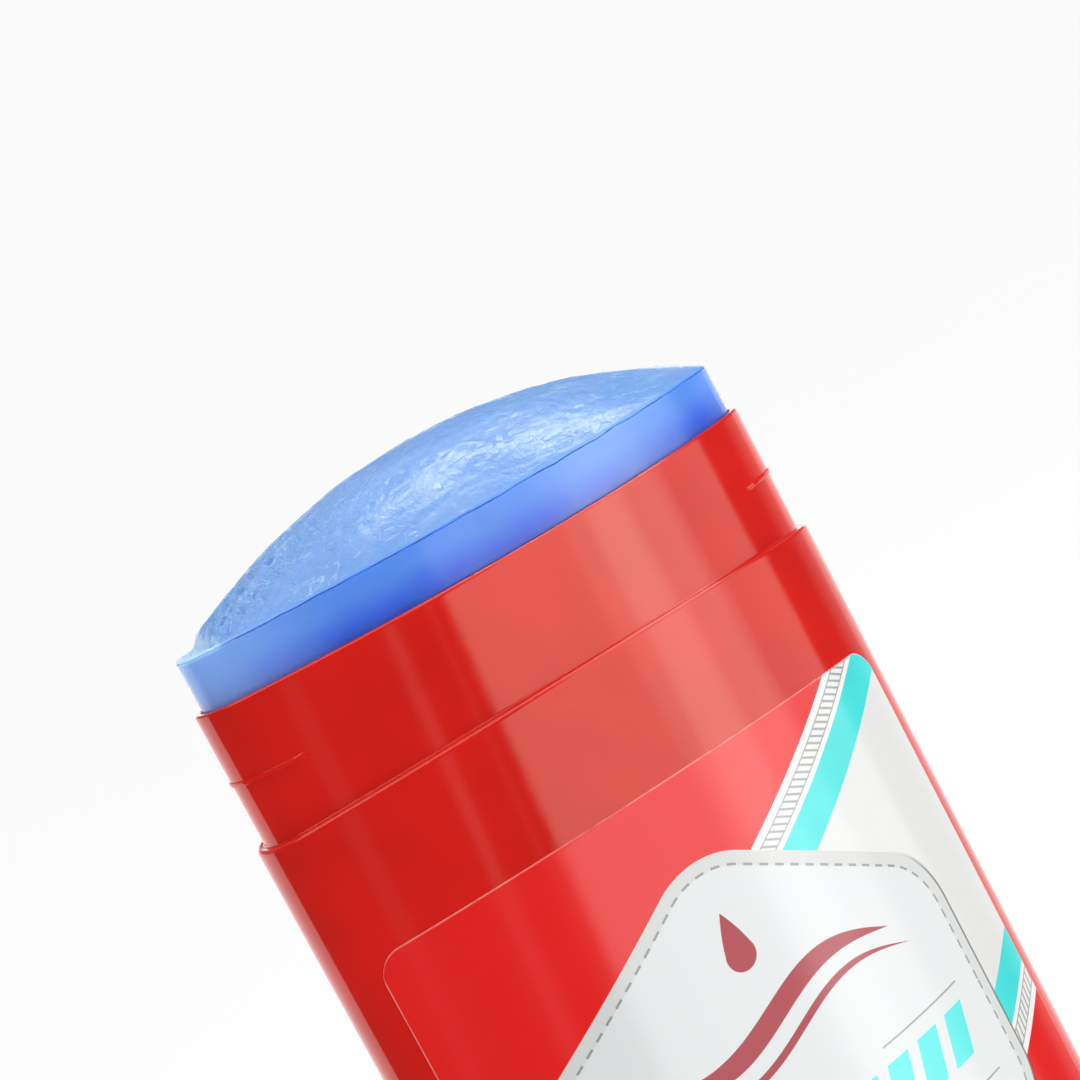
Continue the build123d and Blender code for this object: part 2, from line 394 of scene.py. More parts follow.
@dataclass(frozen=True)
class Gel:
    """A translucent wax gel: light goes deep in it, and its worked end is wet and uneven.

    Attributes:
        deep: linear colour of the wall low down, painted darker as the shade where little light reaches.
        wall: linear colour of the smooth wall near its top, painted paler as the glow where the light
            passes through.
        worked: linear colour of the domed end, paler than the wall both from its scuffs and as painted
            light from above.
        frost_and_glow: linear colour of the dry crust at the low end of the dome, also painted on the
        wall at its low end and right of its middle as a glow where light shows through.
        seam: linear colour of the parting line where the dome meets the wall, painted dark as the shade
            in its groove.
        edge: height of the wall's top edge, in millimetres.
        shelf: where the crust ends, along X, in millimetres.
    """

    deep: Colour
    wall: Colour
    worked: Colour
    frost_and_glow: Colour
    seam: Colour
    edge: float
    shelf: float

    def material(self) -> bpy.types.Material:
        """Builds the material, from the wall up to the worked dome.

        Formula: the wall pales from its foot to its top, a painted glow of the light that comes in at
        the top, with clouds in it, and paler patches are painted on it at the low end and right of the
        middle as light showing through. The dome is painted paler than the wall, from its scuffs and as
        painted light from above. It has pale smears and veins drawn out along X, and specks where it is
        rough, which is near its crest at the low end. A broken dark line, painted shade in the groove,
        marks where the two meet, and a crust lies on the shelf.

        Returns:
            The material, whose patterns lie in Object coordinates.
        """
        material, paint, shader = new_material("blue_gel")
        x, y, z = (part / MM for part in paint.split(paint.place()))
        dome = z.above(self.edge + 0.1, 0.12)
        clouds = paint.noise(5.0, 3.0, warp=0.6)
        # painted glow and shade: the wall is darker low down and paler near its top, where the light
        # comes in
        height = z + 1.4 * (paint.noise(7.0, 2.0) - 0.5)
        colour = paint.mix(height.above(self.edge - 2.9, 1.7), self.deep, self.wall)
        colour = paint.mix(clouds.above(0.5, 0.35) * 0.5, colour, tuple(0.8 * c for c in self.wall))
        # painted light: paler patches on the wall at the low end and right of the middle, where light
        # shows through the gel
        colour = paint.mix(x.below(self.shelf + 4.0, 8.0) * 0.42, colour, self.frost_and_glow)
        colour = paint.mix(x.above(7.0, 8.0) * x.below(20.0, 5.0) * 0.2, colour, self.frost_and_glow)
        chalk = tuple(0.45 + 0.55 * c for c in self.worked)
        drawn = paint.stretched((0.22, 1.0, 1.0))
        smear = paint.noise(2.4, 5.0, drawn, warp=0.7).above(0.6, 0.14)
        veins = abs(paint.noise(2.0, 5.0, drawn, warp=0.35) - 0.5).below(0.006, 0.01)
        veins = veins * paint.noise(5.0).above(0.54, 0.06)
        # the dome's colour: scuffed, and painted paler as if lit from above
        pale = paint.mix(0.2 * smear, self.worked, chalk)
        pale = paint.mix(0.55 * veins, pale, self.frost_and_glow)
        rough = x.below(-10.0, 9.0) * (y + 3.0 * (paint.noise(4.0) - 0.5)).above(-5.0, 1.6)
        specks = paint.noise(0.4, 4.0, warp=0.6).above(0.57, 0.06)
        pale = paint.mix(specks * (0.05 + 0.3 * rough), pale, self.frost_and_glow)
        colour = paint.mix(dome, colour, pale)
        # painted shade: a broken dark line in the groove under the wall's top edge
        seam = abs(z - self.edge + 0.15 + 0.3 * (paint.noise(1.7, 4.0) - 0.5)).below(0.04, 0.04)
        colour = paint.mix(seam * paint.noise(2.6).above(0.46, 0.08) * 0.65, colour, self.seam)
        crust = (x + 1.6 * (paint.noise(1.0, 4.0) - 0.5)).below(self.shelf, 0.5)
        crust = crust * z.above(self.edge - 0.35, 0.2)
        colour = paint.mix(crust * 0.85, colour, self.frost_and_glow)
        soft = paint.bump(paint.noise(6.0, 2.0, warp=0.4), 0.05)
        grain = (0.08 + 0.6 * dome) * (1.0 + 2.2 * rough)
        pits = paint.bump(paint.noise(0.6, 5.0, warp=0.5) * grain, 0.1, onto=soft)
        worked = paint.bump((veins + smear * 0.4 + specks * rough) * dome, 0.06, onto=pits)
        paint.dress(
            shader,
            {
                "Base Color": colour,
                "Roughness": 0.1 + 0.12 * paint.noise(1.1, 5.0) + 0.3 * crust,
                "Normal": worked,
                "IOR": 1.44,
                "Subsurface Weight": 1.0,
                "Subsurface Radius": (0.5, 0.9, 2.6),
                "Subsurface Scale": 1.1 * MM,
            },
        )
        return material


class Side(Enum):
    """Which broad face a label is on."""

    FRONT = 1
    BACK = -1


@dataclass(frozen=True)
class Badge:
    """An upright hexagon with rounded corners, in the label's own millimetres.

    Its inner outline is a sharp hexagon, and the badge is all that lies within corner of it, which
    makes every corner an arc of that radius.

    Attributes:
        middle_s: where its middle is, round the case from the middle of the label.
        middle_z: height of its middle.
        half_width: half its width.
        half_height: half its height.
        slope: how many millimetres its slanted sides fall in one across.
        corner: radius of its corners.
        hem: how far its stitch is inside its outline.
    """

    middle_s: float = -0.8
    middle_z: float = 50.65
    half_width: float = 24.3
    half_height: float = 28.15
    slope: float = 0.61
    corner: float = 8.6
    hem: float = 1.27

    def distance_and_way(self, s: Field, z: Field) -> tuple[Field, Field]:
        """Measures a place against the badge's outline.

        Formula: the place is folded into one quarter. Its nearest point on the sharp inner outline
        lies on the slanted run or on the upright one. The distance is that from the nearest point,
        less the corner radius. The way along the outline is the length run so far on the inner
        outline, plus the hem's own corner radius times the heading from the nearest point.

        Args:
            s: distance round the case from the middle of the label, in millimetres.
            z: height, in millimetres.

        Returns:
            The distance outside the outline, and the way along it from the top, in millimetres.
        """
        lean = atan(self.slope)
        across, along = abs(s - self.middle_s), abs(z - self.middle_z)
        inner_width = self.half_width - self.corner
        inner_top = self.half_height - self.corner / cos(lean)
        knee = inner_top - self.slope * inner_width
        run = sqrt(inner_width**2 + (inner_top - knee) ** 2)
        slanted = (across * cos(lean) - (along - inner_top) * sin(lean)).between(0.0, run)
        upright = (knee - along).between(0.0, knee)
        side = across - slanted * cos(lean)
        up = along - (inner_top - slanted * sin(lean)) + upright
        over_slant = (along + self.slope * across - inner_top) * cos(lean)
        outside = (across - inner_width).most(over_slant).least(0.0)
        distance = (side * side + up * up).root() + outside
        inward = outside.above(-0.02, 0.01)
        distance = inward * distance + (1.0 - inward) * outside
        way = slanted + upright + (self.corner - self.hem) * side.heading(up)
        return distance - self.corner, way


@dataclass(frozen=True)
class Print:
    """The print of a glossy label, in fields of colour and simple shapes.

    A pale band runs up the label from its lower left to its upper right. Each of its borders is a
    white line, a ladder stitch, a second white line and a stripe. A badge lies over it, with a hem
    and a running stitch. Sizes are in millimetres on the label's own surface, heights are those of
    the stick, and colours are linear.

    Attributes:
        badge: the badge's outline.
        red: the ground.
        white: the lines beside the ladder.
        pale: the middle of the band, and the haze on the badge.
        stripe: the stripes and the bars.
        stripe_deep: the stripes where they are cloudier.
        thread: the stitches and the rules.
        inside: the badge inside its stitch.
        hem: the badge outside its stitch.
        ink: the drop and the ribbons.
        shade: the shadow along the badge's lower right edge.
        edge: the painted highlight along the film's rim, where its cut edge catches the light.
        soft: half the width over which one colour turns into the next.
        band_slope: how far the band climbs in one across.
        band_upper: height of its upper border in the middle of the label.
        band_lower: height of its lower border there.
        ladder_from: depth inside the border at which the ladder starts.
        ladder_to: depth at which it ends.
        ladder_pitch: from one rung to the next.
        ladder_skew: how far a rung leans along the border in one of depth.
        stripe_from: depth at which the stripe starts.
        stripe_to: depth at which it ends.
        thread_width: width of the ladder's lines.
        stitch_pitch: from one stitch of the hem to the next.
        stitch_length: length of a stitch.
        stitch_width: width of a stitch.
        drop_z: height of the middle of the drop's bowl.
        drop_radius: radius of the bowl.
        drop_length: from there to the drop's tip.
        ribbons: height, half width and shift along X of each ribbon.
        ribbon_half: half the length of a ribbon.
        ribbon_rise: height of its wave.
        bars_z: height of the middle of the bars.
        bar_lean: how far a bar leans along X in one of height.
        bar_pitch: from one bar to the next.
        bar_half: half the width of a bar.
        bars_half_height: half the height of a bar.
        bars_reach: half the length of the row.
        rules: heights of the two rules.
        rule_half: half the width of a rule.
        rule_from: distance from the badge's middle at which a rule starts.
        rule_to: distance at which it ends.
    """

    badge: Badge = Badge()
    red: Colour = linear(229, 24, 20)
    white: Colour = linear(242, 242, 240)
    pale: Colour = linear(229, 230, 228)
    stripe: Colour = linear(76, 228, 224)
    stripe_deep: Colour = linear(60, 218, 216)
    thread: Colour = linear(140, 144, 142)
    inside: Colour = linear(222, 226, 226)
    hem: Colour = linear(212, 214, 212)
    ink: Colour = linear(165, 34, 48)
    shade: Colour = linear(112, 118, 112)
    edge: Colour = linear(246, 150, 140)
    soft: float = 0.035
    band_slope: float = 0.515
    band_upper: float = 72.75
    band_lower: float = 29.05
    ladder_from: float = 0.85
    ladder_to: float = 2.33
    ladder_pitch: float = 0.82
    ladder_skew: float = 0.7
    stripe_from: float = 2.95
    stripe_to: float = 6.4
    thread_width: float = 0.15
    stitch_pitch: float = 1.72
    stitch_length: float = 0.95
    stitch_width: float = 0.24
    drop_z: float = 67.7
    drop_radius: float = 1.57
    drop_length: float = 4.4
    ribbons: tuple[tuple[float, float, float], ...] = ((61.2, 1.15, 0.0), (58.6, 0.42, 1.6))
    ribbon_half: float = 15.5
    ribbon_rise: float = 2.1
    bars_z: float = 48.2
    bar_lean: float = 0.32
    bar_pitch: float = 4.3
    bar_half: float = 1.45
    bars_half_height: float = 2.5
    bars_reach: float = 19.3
    rules: tuple[float, float] = (52.35, 42.7)
    rule_half: float = 0.09
    rule_from: float = 8.4
    rule_to: float = 20.0

    def band(self, paint: Paint, s: Field, z: Field) -> bpy.types.NodeSocket:
        """Paints the red ground and the pale band with its borders.

        Formula: depth is how far a place is inside the nearer border of the band, and along is how
        far up the border it is. The ladder's rails and rungs lie between two depths.

        Args:
            paint: the label's paint.
            s: distance round the case from the middle of the label.
            z: height.

        Returns:
            The colour's socket.
        """
        tilt = cos(atan(self.band_slope))
        height = z - self.band_slope * s
        upper = (self.band_upper - height) * tilt
        lower = (height - self.band_lower) * tilt
        depth = upper.least(lower)
        along = (s + self.band_slope * z) * tilt
        colour = paint.mix(depth.above(0.0, self.soft), self.red, self.white)
        in_ladder = depth.above(self.ladder_from, self.soft) * depth.below(self.ladder_to, self.soft)
        colour = paint.mix(in_ladder * 0.55, colour, self.pale)
        middle = (self.ladder_from + self.ladder_to) / 2
        reach = (self.ladder_to - self.ladder_from) / 2
        rails = abs(abs(depth - middle) - reach).below(self.thread_width / 2, self.soft)
        rungs = (along - self.ladder_skew * (depth - middle)).cycle(self.ladder_pitch)
        rungs = rungs.below(self.thread_width * 0.9, self.soft * 2.5) * in_ladder
        colour = paint.mix(rails.most(rungs) * 0.8, colour, self.thread)
        teal = paint.mix(paint.noise(7.0).above(0.5, 0.4), self.stripe, self.stripe_deep)
        colour = paint.mix(depth.above(self.stripe_from, self.soft), colour, teal)
        return paint.mix(depth.above(self.stripe_to, self.soft), colour, self.pale)

    def emblem(
        self, paint: Paint, s: Field, z: Field, colour: bpy.types.NodeSocket
    ) -> bpy.types.NodeSocket:
        """Paints the badge's plain emblem: a drop, two ribbons, a row of slanted bars and two rules.

        Formula: the drop's half width over its bowl goes with point * sqrt(2 - point), where point
        falls from 1 to 0 up its length. A ribbon follows one wave of a sine and thins to both ends
        as 1 - t^2. The bars repeat along X less their lean.

        Args:
            paint: the label's paint.
            s: distance round the case from the middle of the label.
            z: height.
            colour: the colour under the emblem.

        Returns:
            The colour's socket.
        """
        across = s - self.badge.middle_s
        up = z - self.drop_z
        point = (1.0 - up / self.drop_length).between(0.0, 1.0)
        drop = abs(across) - self.drop_radius * point * (2.0 - point).root()
        drop = drop.below(0.0, self.soft) * up.above(0.0, 0.02)
        drop = drop * up.below(self.drop_length - 0.05, 0.02)
        bowl = (across * across + up * up).root().below(self.drop_radius, self.soft)
        colour = paint.mix(drop.most(bowl), colour, self.ink)
        for level, width, shift in self.ribbons:
            moved = (across - shift) / self.ribbon_half
            taper = width * (1.0 - moved * moved)
            ribbon = abs(z - level - self.ribbon_rise * (moved * pi).sine())
            colour = paint.mix((ribbon - taper).below(0.0, self.soft), colour, self.ink)
        leant = across - self.bar_lean * (z - self.bars_z)
        bars = leant.cycle(self.bar_pitch).below(self.bar_half, self.soft)
        bars = bars * abs(z - self.bars_z).below(self.bars_half_height, self.soft)
        colour = paint.mix(bars * abs(leant).below(self.bars_reach, 0.02), colour, self.stripe)
        for level in self.rules:
            rule = abs(z - level).below(self.rule_half, self.soft)
            rule = rule * abs(across).above(self.rule_from, 0.05) * abs(across).below(self.rule_to, 0.05)
            colour = paint.mix(rule * 0.9, colour, self.thread)
        return colour

    def leaflet(
        self, paint: Paint, s: Field, z: Field, colour: bpy.types.NodeSocket
    ) -> bpy.types.NodeSocket:
        """Paints plain rules, which the back's badge has instead of the emblem.

        Args:
            paint: the label's paint.
            s: distance round the case from the middle of the label.
            z: height.
            colour: the colour under the rules.

        Returns:
            The colour's socket.
        """
        across = abs(s - self.badge.middle_s)
        rows = (z - self.badge.middle_z).cycle(3.2).below(0.16, self.soft)
        rows = rows * across.below(16.5, self.soft) * abs(z - self.badge.middle_z).below(14.0, self.soft)
        return paint.mix(rows * 0.75, colour, self.thread)

    def material(self, side: Side) -> bpy.types.Material:
        """Builds the printed film of one label.

        Args:
            side: the face it is on, which says whether its badge has the emblem or plain rules.

        Returns:
            The material, which reads the label's own UV map of millimetres.
        """
        material, paint, shader = new_material(f"{side.name.lower()}_label_film")
        uv = paint.new("ShaderNodeUVMap", uv_map=Label.uv_name)
        s, z, _ = paint.split(uv.outputs[0])
        colour = self.band(paint, s, z)
        distance, way = self.badge.distance_and_way(s, z)
        colour = paint.mix(distance.below(0.0, self.soft), colour, self.hem)
        right = (s - self.badge.middle_s).above(18.0, 3.0)
        edge = abs(distance - 0.06).below(0.13, 0.06) * right
        edge = edge * (z - self.badge.middle_z).below(13.5, 3.0)
        colour = paint.mix(edge * 0.85, colour, self.shade)
        colour = paint.mix(distance.below(-self.badge.hem - 0.1, 0.12), colour, self.inside)
        haze = paint.noise(11.0, 2.0, warp=0.5).above(0.62, 0.25) * distance.below(-4.0, 2.0)
        colour = paint.mix(haze * 0.25, colour, self.pale)
        stitch = abs(distance + self.badge.hem).below(self.stitch_width / 2, self.soft)
        stitch = stitch * way.cycle(self.stitch_pitch).below(self.stitch_length / 2, self.soft)
        colour = paint.mix(stitch * 0.9, colour, self.thread)
        motifs = self.emblem if side is Side.FRONT else self.leaflet
        colour = motifs(paint, s, z, colour)
        # painted highlight: a pale, broken line along the film's cut edge, where it catches the light
        rim = paint.new("ShaderNodeAttribute", attribute_name=Label.rim_name)
        rim = Field(paint.tree, rim.outputs["Fac"])
        highlight_breakup = 0.35 + 0.5 * paint.noise(1.6, 3.0).above(0.45, 0.2)
        relief = paint.bump(abs(distance).below(0.2, 0.2) * right, 0.02)
        paint.dress(
            shader,
            {
                "Base Color": paint.mix(rim.below(0.12, 0.08) * highlight_breakup, colour, self.edge),
                "Roughness": 0.1 + 0.06 * paint.noise(1.8, 4.0),
                "Normal": paint.bump(paint.noise(4.5, 2.0), 0.007, onto=relief),
                "IOR": 1.5,
            },
        )
        return material


# ---------------------------------------------------------------------------------------------
# Surfaces
# ---------------------------------------------------------------------------------------------


def mesh_object(
    name: str,
    points: np.ndarray,
    faces: list[np.ndarray],
    material: bpy.types.Material,
    crisp: float = 38.0,
) -> bpy.types.Object:
    """Makes an object from points and blocks of faces.

    Args:
        name: the object's name.
        points: an array of N by 3, in millimetres.
        faces: arrays of corner numbers, one row a face, each array with its own number of corners.
        material: the finish of the whole piece.
        crisp: an edge that turns by more degrees than this is shaded sharp.

    Returns:
        The object, at the origin, with its place in its mesh.
    """
    mesh = bpy.data.meshes.new(name)
    mesh.vertices.add(len(points))
    mesh.vertices.foreach_set("co", (points * MM).astype(np.float32).ravel())
    corners = np.concatenate([block.ravel() for block in faces])
    counts = np.concatenate([np.full(len(block), block.shape[1]) for block in faces])
    mesh.loops.add(len(corners))
    mesh.loops.foreach_set("vertex_index", corners.astype(np.int32))
    mesh.polygons.add(len(counts))
    starts = np.concatenate([[0], np.cumsum(counts)[:-1]])
    mesh.polygons.foreach_set("loop_start", starts.astype(np.int32))
    mesh.update(calc_edges=True)
    mesh.shade_smooth()
    mesh.set_sharp_from_angle(angle=radians(crisp))
    mesh.materials.append(material)
    piece = bpy.data.objects.new(name, mesh)
    bpy.context.scene.collection.objects.link(piece)
    return piece


def grid_faces(rows: int, columns: int, wrap_rows: bool, wrap_columns: bool) -> np.ndarray:
    """Numbers the four-cornered faces of a grid of points.

    Formula: the point in row r and column c is number r * columns + c, and a face joins it to the
    next column, to the next column and row, and to the next row.

    Args:
        rows: how many rows of points there are.
        columns: how many points a row has.
        wrap_rows: whether the last row joins the first.
        wrap_columns: whether each row is a closed ring.

    Returns:
        The corner numbers, four a face, seen turning left from outside where the columns run
        anticlockwise from above and the rows run up.
    """
    r, c = np.meshgrid(
        np.arange(rows if wrap_rows else rows - 1),
        np.arange(columns if wrap_columns else columns - 1),
        indexing="ij",
    )
    here, right = r * columns + c, r * columns + (c + 1) % columns
    above = ((r + 1) % rows) * columns
    return np.stack([here, right, above + (c + 1) % columns, above + c], axis=-1).reshape(-1, 4)


def ring_piece(
    name: str,
    rows: np.ndarray,
    material: bpy.types.Material,
    closed_loop: bool = False,
    crisp: float = 38.0,
) -> bpy.types.Object:
    """Makes a piece from closed rings of points, one above the other.

    Args:
        name: the object's name.
        rows: an array of rows by columns by 3, in millimetres.
        material: the finish.
        closed_loop: whether the last ring joins the first, as on a tube's wall. If not, both ends
            are closed by a fan to the middle of the ring.
        crisp: the angle past which an edge is shaded sharp, in degrees.

    Returns:
        The object.
    """
    count, columns = rows.shape[:2]
    points = rows.reshape(-1, 3)
    faces = [grid_faces(count, columns, closed_loop, True)]
    if not closed_loop:
        ring = np.arange(columns)
        following = (ring + 1) % columns
        foot, head = len(points), len(points) + 1
        top = (count - 1) * columns
        points = np.vstack([points, rows[0].mean(axis=0), rows[-1].mean(axis=0)])
        faces.append(np.stack([following, ring, np.full(columns, foot)], axis=-1))
        faces.append(np.stack([top + ring, top + following, np.full(columns, head)], axis=-1))
    return mesh_object(name, points, faces, material, crisp)


def settle(piece: bpy.types.Object, node: str, body: str) -> bpy.types.Object:
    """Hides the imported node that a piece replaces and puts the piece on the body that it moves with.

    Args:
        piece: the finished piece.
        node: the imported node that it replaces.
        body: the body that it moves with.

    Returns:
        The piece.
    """
    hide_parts(node)
    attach(piece, body)
    return piece


def guarded(rows: np.ndarray, reach: float = 0.07) -> np.ndarray:
    """Adds a ring close to each bend between two tall gaps, so that flat walls are shaded flat.

    Formula: where the run of the rings turns by more than a degree, a ring is put at reach from the
    bend into each neighbouring gap that is more than five times as long, by straight mixing.

    Args:
        rows: the rings, rows by columns by 3, in millimetres.
        reach: how far from the bend the new ring is.

    Returns:
        The rings with the new ones in their places.
    """
    step = np.diff(rows, axis=0)
    gap = np.linalg.norm(step, axis=2)
    way = step / np.maximum(gap, 1e-9)[..., None]
    bends = np.ones(len(rows), dtype=bool)
    bends[1:-1] = (way[1:] * way[:-1]).sum(axis=2).mean(axis=1) < cos(radians(1.0))
    rings = [rows[:1]]
    for low, (ring, tall) in enumerate(zip(step, gap)):
        share = np.clip(reach / np.maximum(tall, 1e-9), 0, 0.3)[:, None]
        wide = tall.mean() > 5 * reach
        if wide and bends[low]:
            rings.append((rows[low] + share * ring)[None])
        if wide and bends[low + 1]:
            rings.append((rows[low + 1] - share * ring)[None])
        rings.append(rows[low + 1 : low + 2])
    return np.concatenate(rings)


def restless(x: np.ndarray, y: np.ndarray, size: float, seed: int, waves: int = 28) -> np.ndarray:
    """An uneven surface as a sum of plane waves.

    Formula: each wave is the sine of its own heading's distance over its wavelength, plus its own
    phase. The wavelengths spread a third either way of size, and the sum is scaled to about one.

    Args:
        x: first coordinate, in millimetres.
        y: second coordinate, in millimetres.
        size: the middle wavelength, in millimetres.
        seed: the start of the random draws.
        waves: how many waves are added.

    Returns:
        The height at each point, mostly between -1 and 1.
    """
    draw = np.random.default_rng(seed)
    heading = draw.uniform(0, 2 * pi, waves)
    length = size * draw.uniform(0.67, 1.33, waves)
    phase = draw.uniform(0, 2 * pi, waves)
    total = np.zeros(np.broadcast(x, y).shape)
    for turn, wave, start in zip(heading, length, phase):
        total += np.sin(2 * pi * (x * cos(turn) + y * sin(turn)) / wave + start)
    return total / sqrt(waves)


def smooth_step(value: np.ndarray, low: float, high: float) -> np.ndarray:
    """Makes an S curve of 3t^2 - 2t^3, where t is how far value is from low to high.

    Args:
        value: the numbers to look at.
        low: where the curve starts.
        high: where it ends.

    Returns:
        0 where the value is under low, and 1 where it is over high.
    """
    t = np.clip((value - low) / (high - low), 0, 1)
    return t * t * (3 - 2 * t)


@dataclass(frozen=True)
class Oval:
    """The plan outline: two end arcs and two flatter face arcs, each tangent to its neighbours.

    Formula: with the end arcs' centres at (+-c, 0), c = width / 2 - end, and d = depth / 2, the
    face arcs' radius is (c^2 + d^2 - end^2) / (2 (d - end)). An outline moved inwards has the same
    centres, and each radius is less by the inset.

    Attributes:
        width: its size along X, in millimetres.
        depth: its size along Y.
        end: radius of its end arcs.
    """

    width: float
    depth: float
    end: float

    @property
    def end_centre(self) -> float:
        """Distance from the middle to the centre of an end arc."""
        return self.width / 2 - self.end

    @property
    def face(self) -> float:
        """Radius of a face arc."""
        deep = self.depth / 2
        return (self.end_centre**2 + deep**2 - self.end**2) / (2 * (deep - self.end))

    @property
    def turn(self) -> float:
        """Heading at which a face arc meets an end arc."""
        return float(np.arcsin(self.end_centre / (self.face - self.end)))

    @property
    def face_run(self) -> float:
        """Length of the outline from the middle of a face to its end arc."""
        return self.face * self.turn

    @property
    def quarter(self) -> float:
        """Length of a quarter of the outline."""
        return self.face_run + self.end * (pi / 2 - self.turn)

    def headings(self, face_steps: int, end_steps: int) -> np.ndarray:
        """Spreads headings evenly over each arc of the outline.

        Args:
            face_steps: how many points half a face arc has, both ends counted.
            end_steps: how many points half an end arc has.

        Returns:
            The headings of a whole turn.
        """
        face = np.linspace(0, self.turn, face_steps)[:-1]
        return whole_turn(np.concatenate([face, np.linspace(self.turn, pi / 2, end_steps)]))

    def heading_at(self, way: np.ndarray) -> np.ndarray:
        """Turns a distance along the outline, from the middle of the front, into a heading.

        Formula: the heading goes evenly with the distance along each arc.

        Args:
            way: the distance, in millimetres, positive towards +X.

        Returns:
            The heading, in radians.
        """
        ways = [-self.quarter, -self.face_run, self.face_run, self.quarter]
        return np.interp(way, ways, [-pi / 2, -self.turn, self.turn, pi / 2])

    def heading_of_x(self, x: np.ndarray, inset: float) -> np.ndarray:
        """Returns the heading of the point of the front face arc that has this X."""
        return np.arcsin(x / (self.face - inset))

    def points(self, heading: np.ndarray, inset: np.ndarray, z: np.ndarray) -> np.ndarray:
        """Places points by heading, distance inside the outline and height.

        Args:
            heading: direction of the outline's normal from -Y towards +X, in radians.
            inset: how far inside the outline, in millimetres.
            z: height, in millimetres.

        Returns:
            An array with a last axis of X, Y and Z.
        """
        heading, inset, z = np.broadcast_arrays(heading, inset, z)
        turned = (heading + pi) % (2 * pi) - pi
        near, size = np.sign(turned), np.abs(turned)
        front, back = size <= self.turn, size >= pi - self.turn
        flat = front | back
        radius = np.where(flat, self.face, self.end) - inset
        deep = self.face - self.depth / 2
        centre_x = np.where(flat, 0.0, near * self.end_centre)
        centre_y = np.where(front, deep, np.where(back, -deep, 0.0))
        return np.stack(
            [centre_x + radius * np.sin(turned), centre_y - radius * np.cos(turned), z], axis=-1
        )


def whole_turn(quarter: np.ndarray) -> np.ndarray:
    """Carries headings round all four quarters.

    Args:
        quarter: headings of the front right quarter, from 0 to a right angle.

    Returns:
        The headings of a whole turn, the first left out at its end.
    """
    back = pi - quarter[::-1]
    half = np.concatenate([quarter, back[1:]])
    return np.concatenate([half, pi + half[1:-1]])


def mirrored(quarter: np.ndarray) -> np.ndarray:
    """Carries values of the front right quarter round all four, as whole_turn does headings."""
    half = np.concatenate([quarter, quarter[::-1][1:]])
    return np.concatenate([half, half[1:-1]])


def arc(start: tuple[float, float], centre: tuple[float, float], turn: float, steps: int) -> np.ndarray:
    """Steps along an arc in the plane of a profile.

    Args:
        start: the arc's first point, which is left out.
        centre: its centre.
        turn: how far it goes, in radians, anticlockwise where positive.
        steps: how many points it has.

    Returns:
        The points, one a row.
    """
    angles = np.linspace(0, turn, steps + 1)[1:]
    dx, dz = start[0] - centre[0], start[1] - centre[1]
    return np.stack(
        [
            centre[0] + dx * np.cos(angles) - dz * np.sin(angles),
            centre[1] + dx * np.sin(angles) + dz * np.cos(angles),
        ],
        axis=-1,
    )


# ---------------------------------------------------------------------------------------------
# The case and its labels
# ---------------------------------------------------------------------------------------------


class Level(IntEnum):
    """What the height of a profile's row counts from. A BEAD row counts from the rim as well."""

    SHOULDER = 0
    RIM = 1
    BEAD = 2


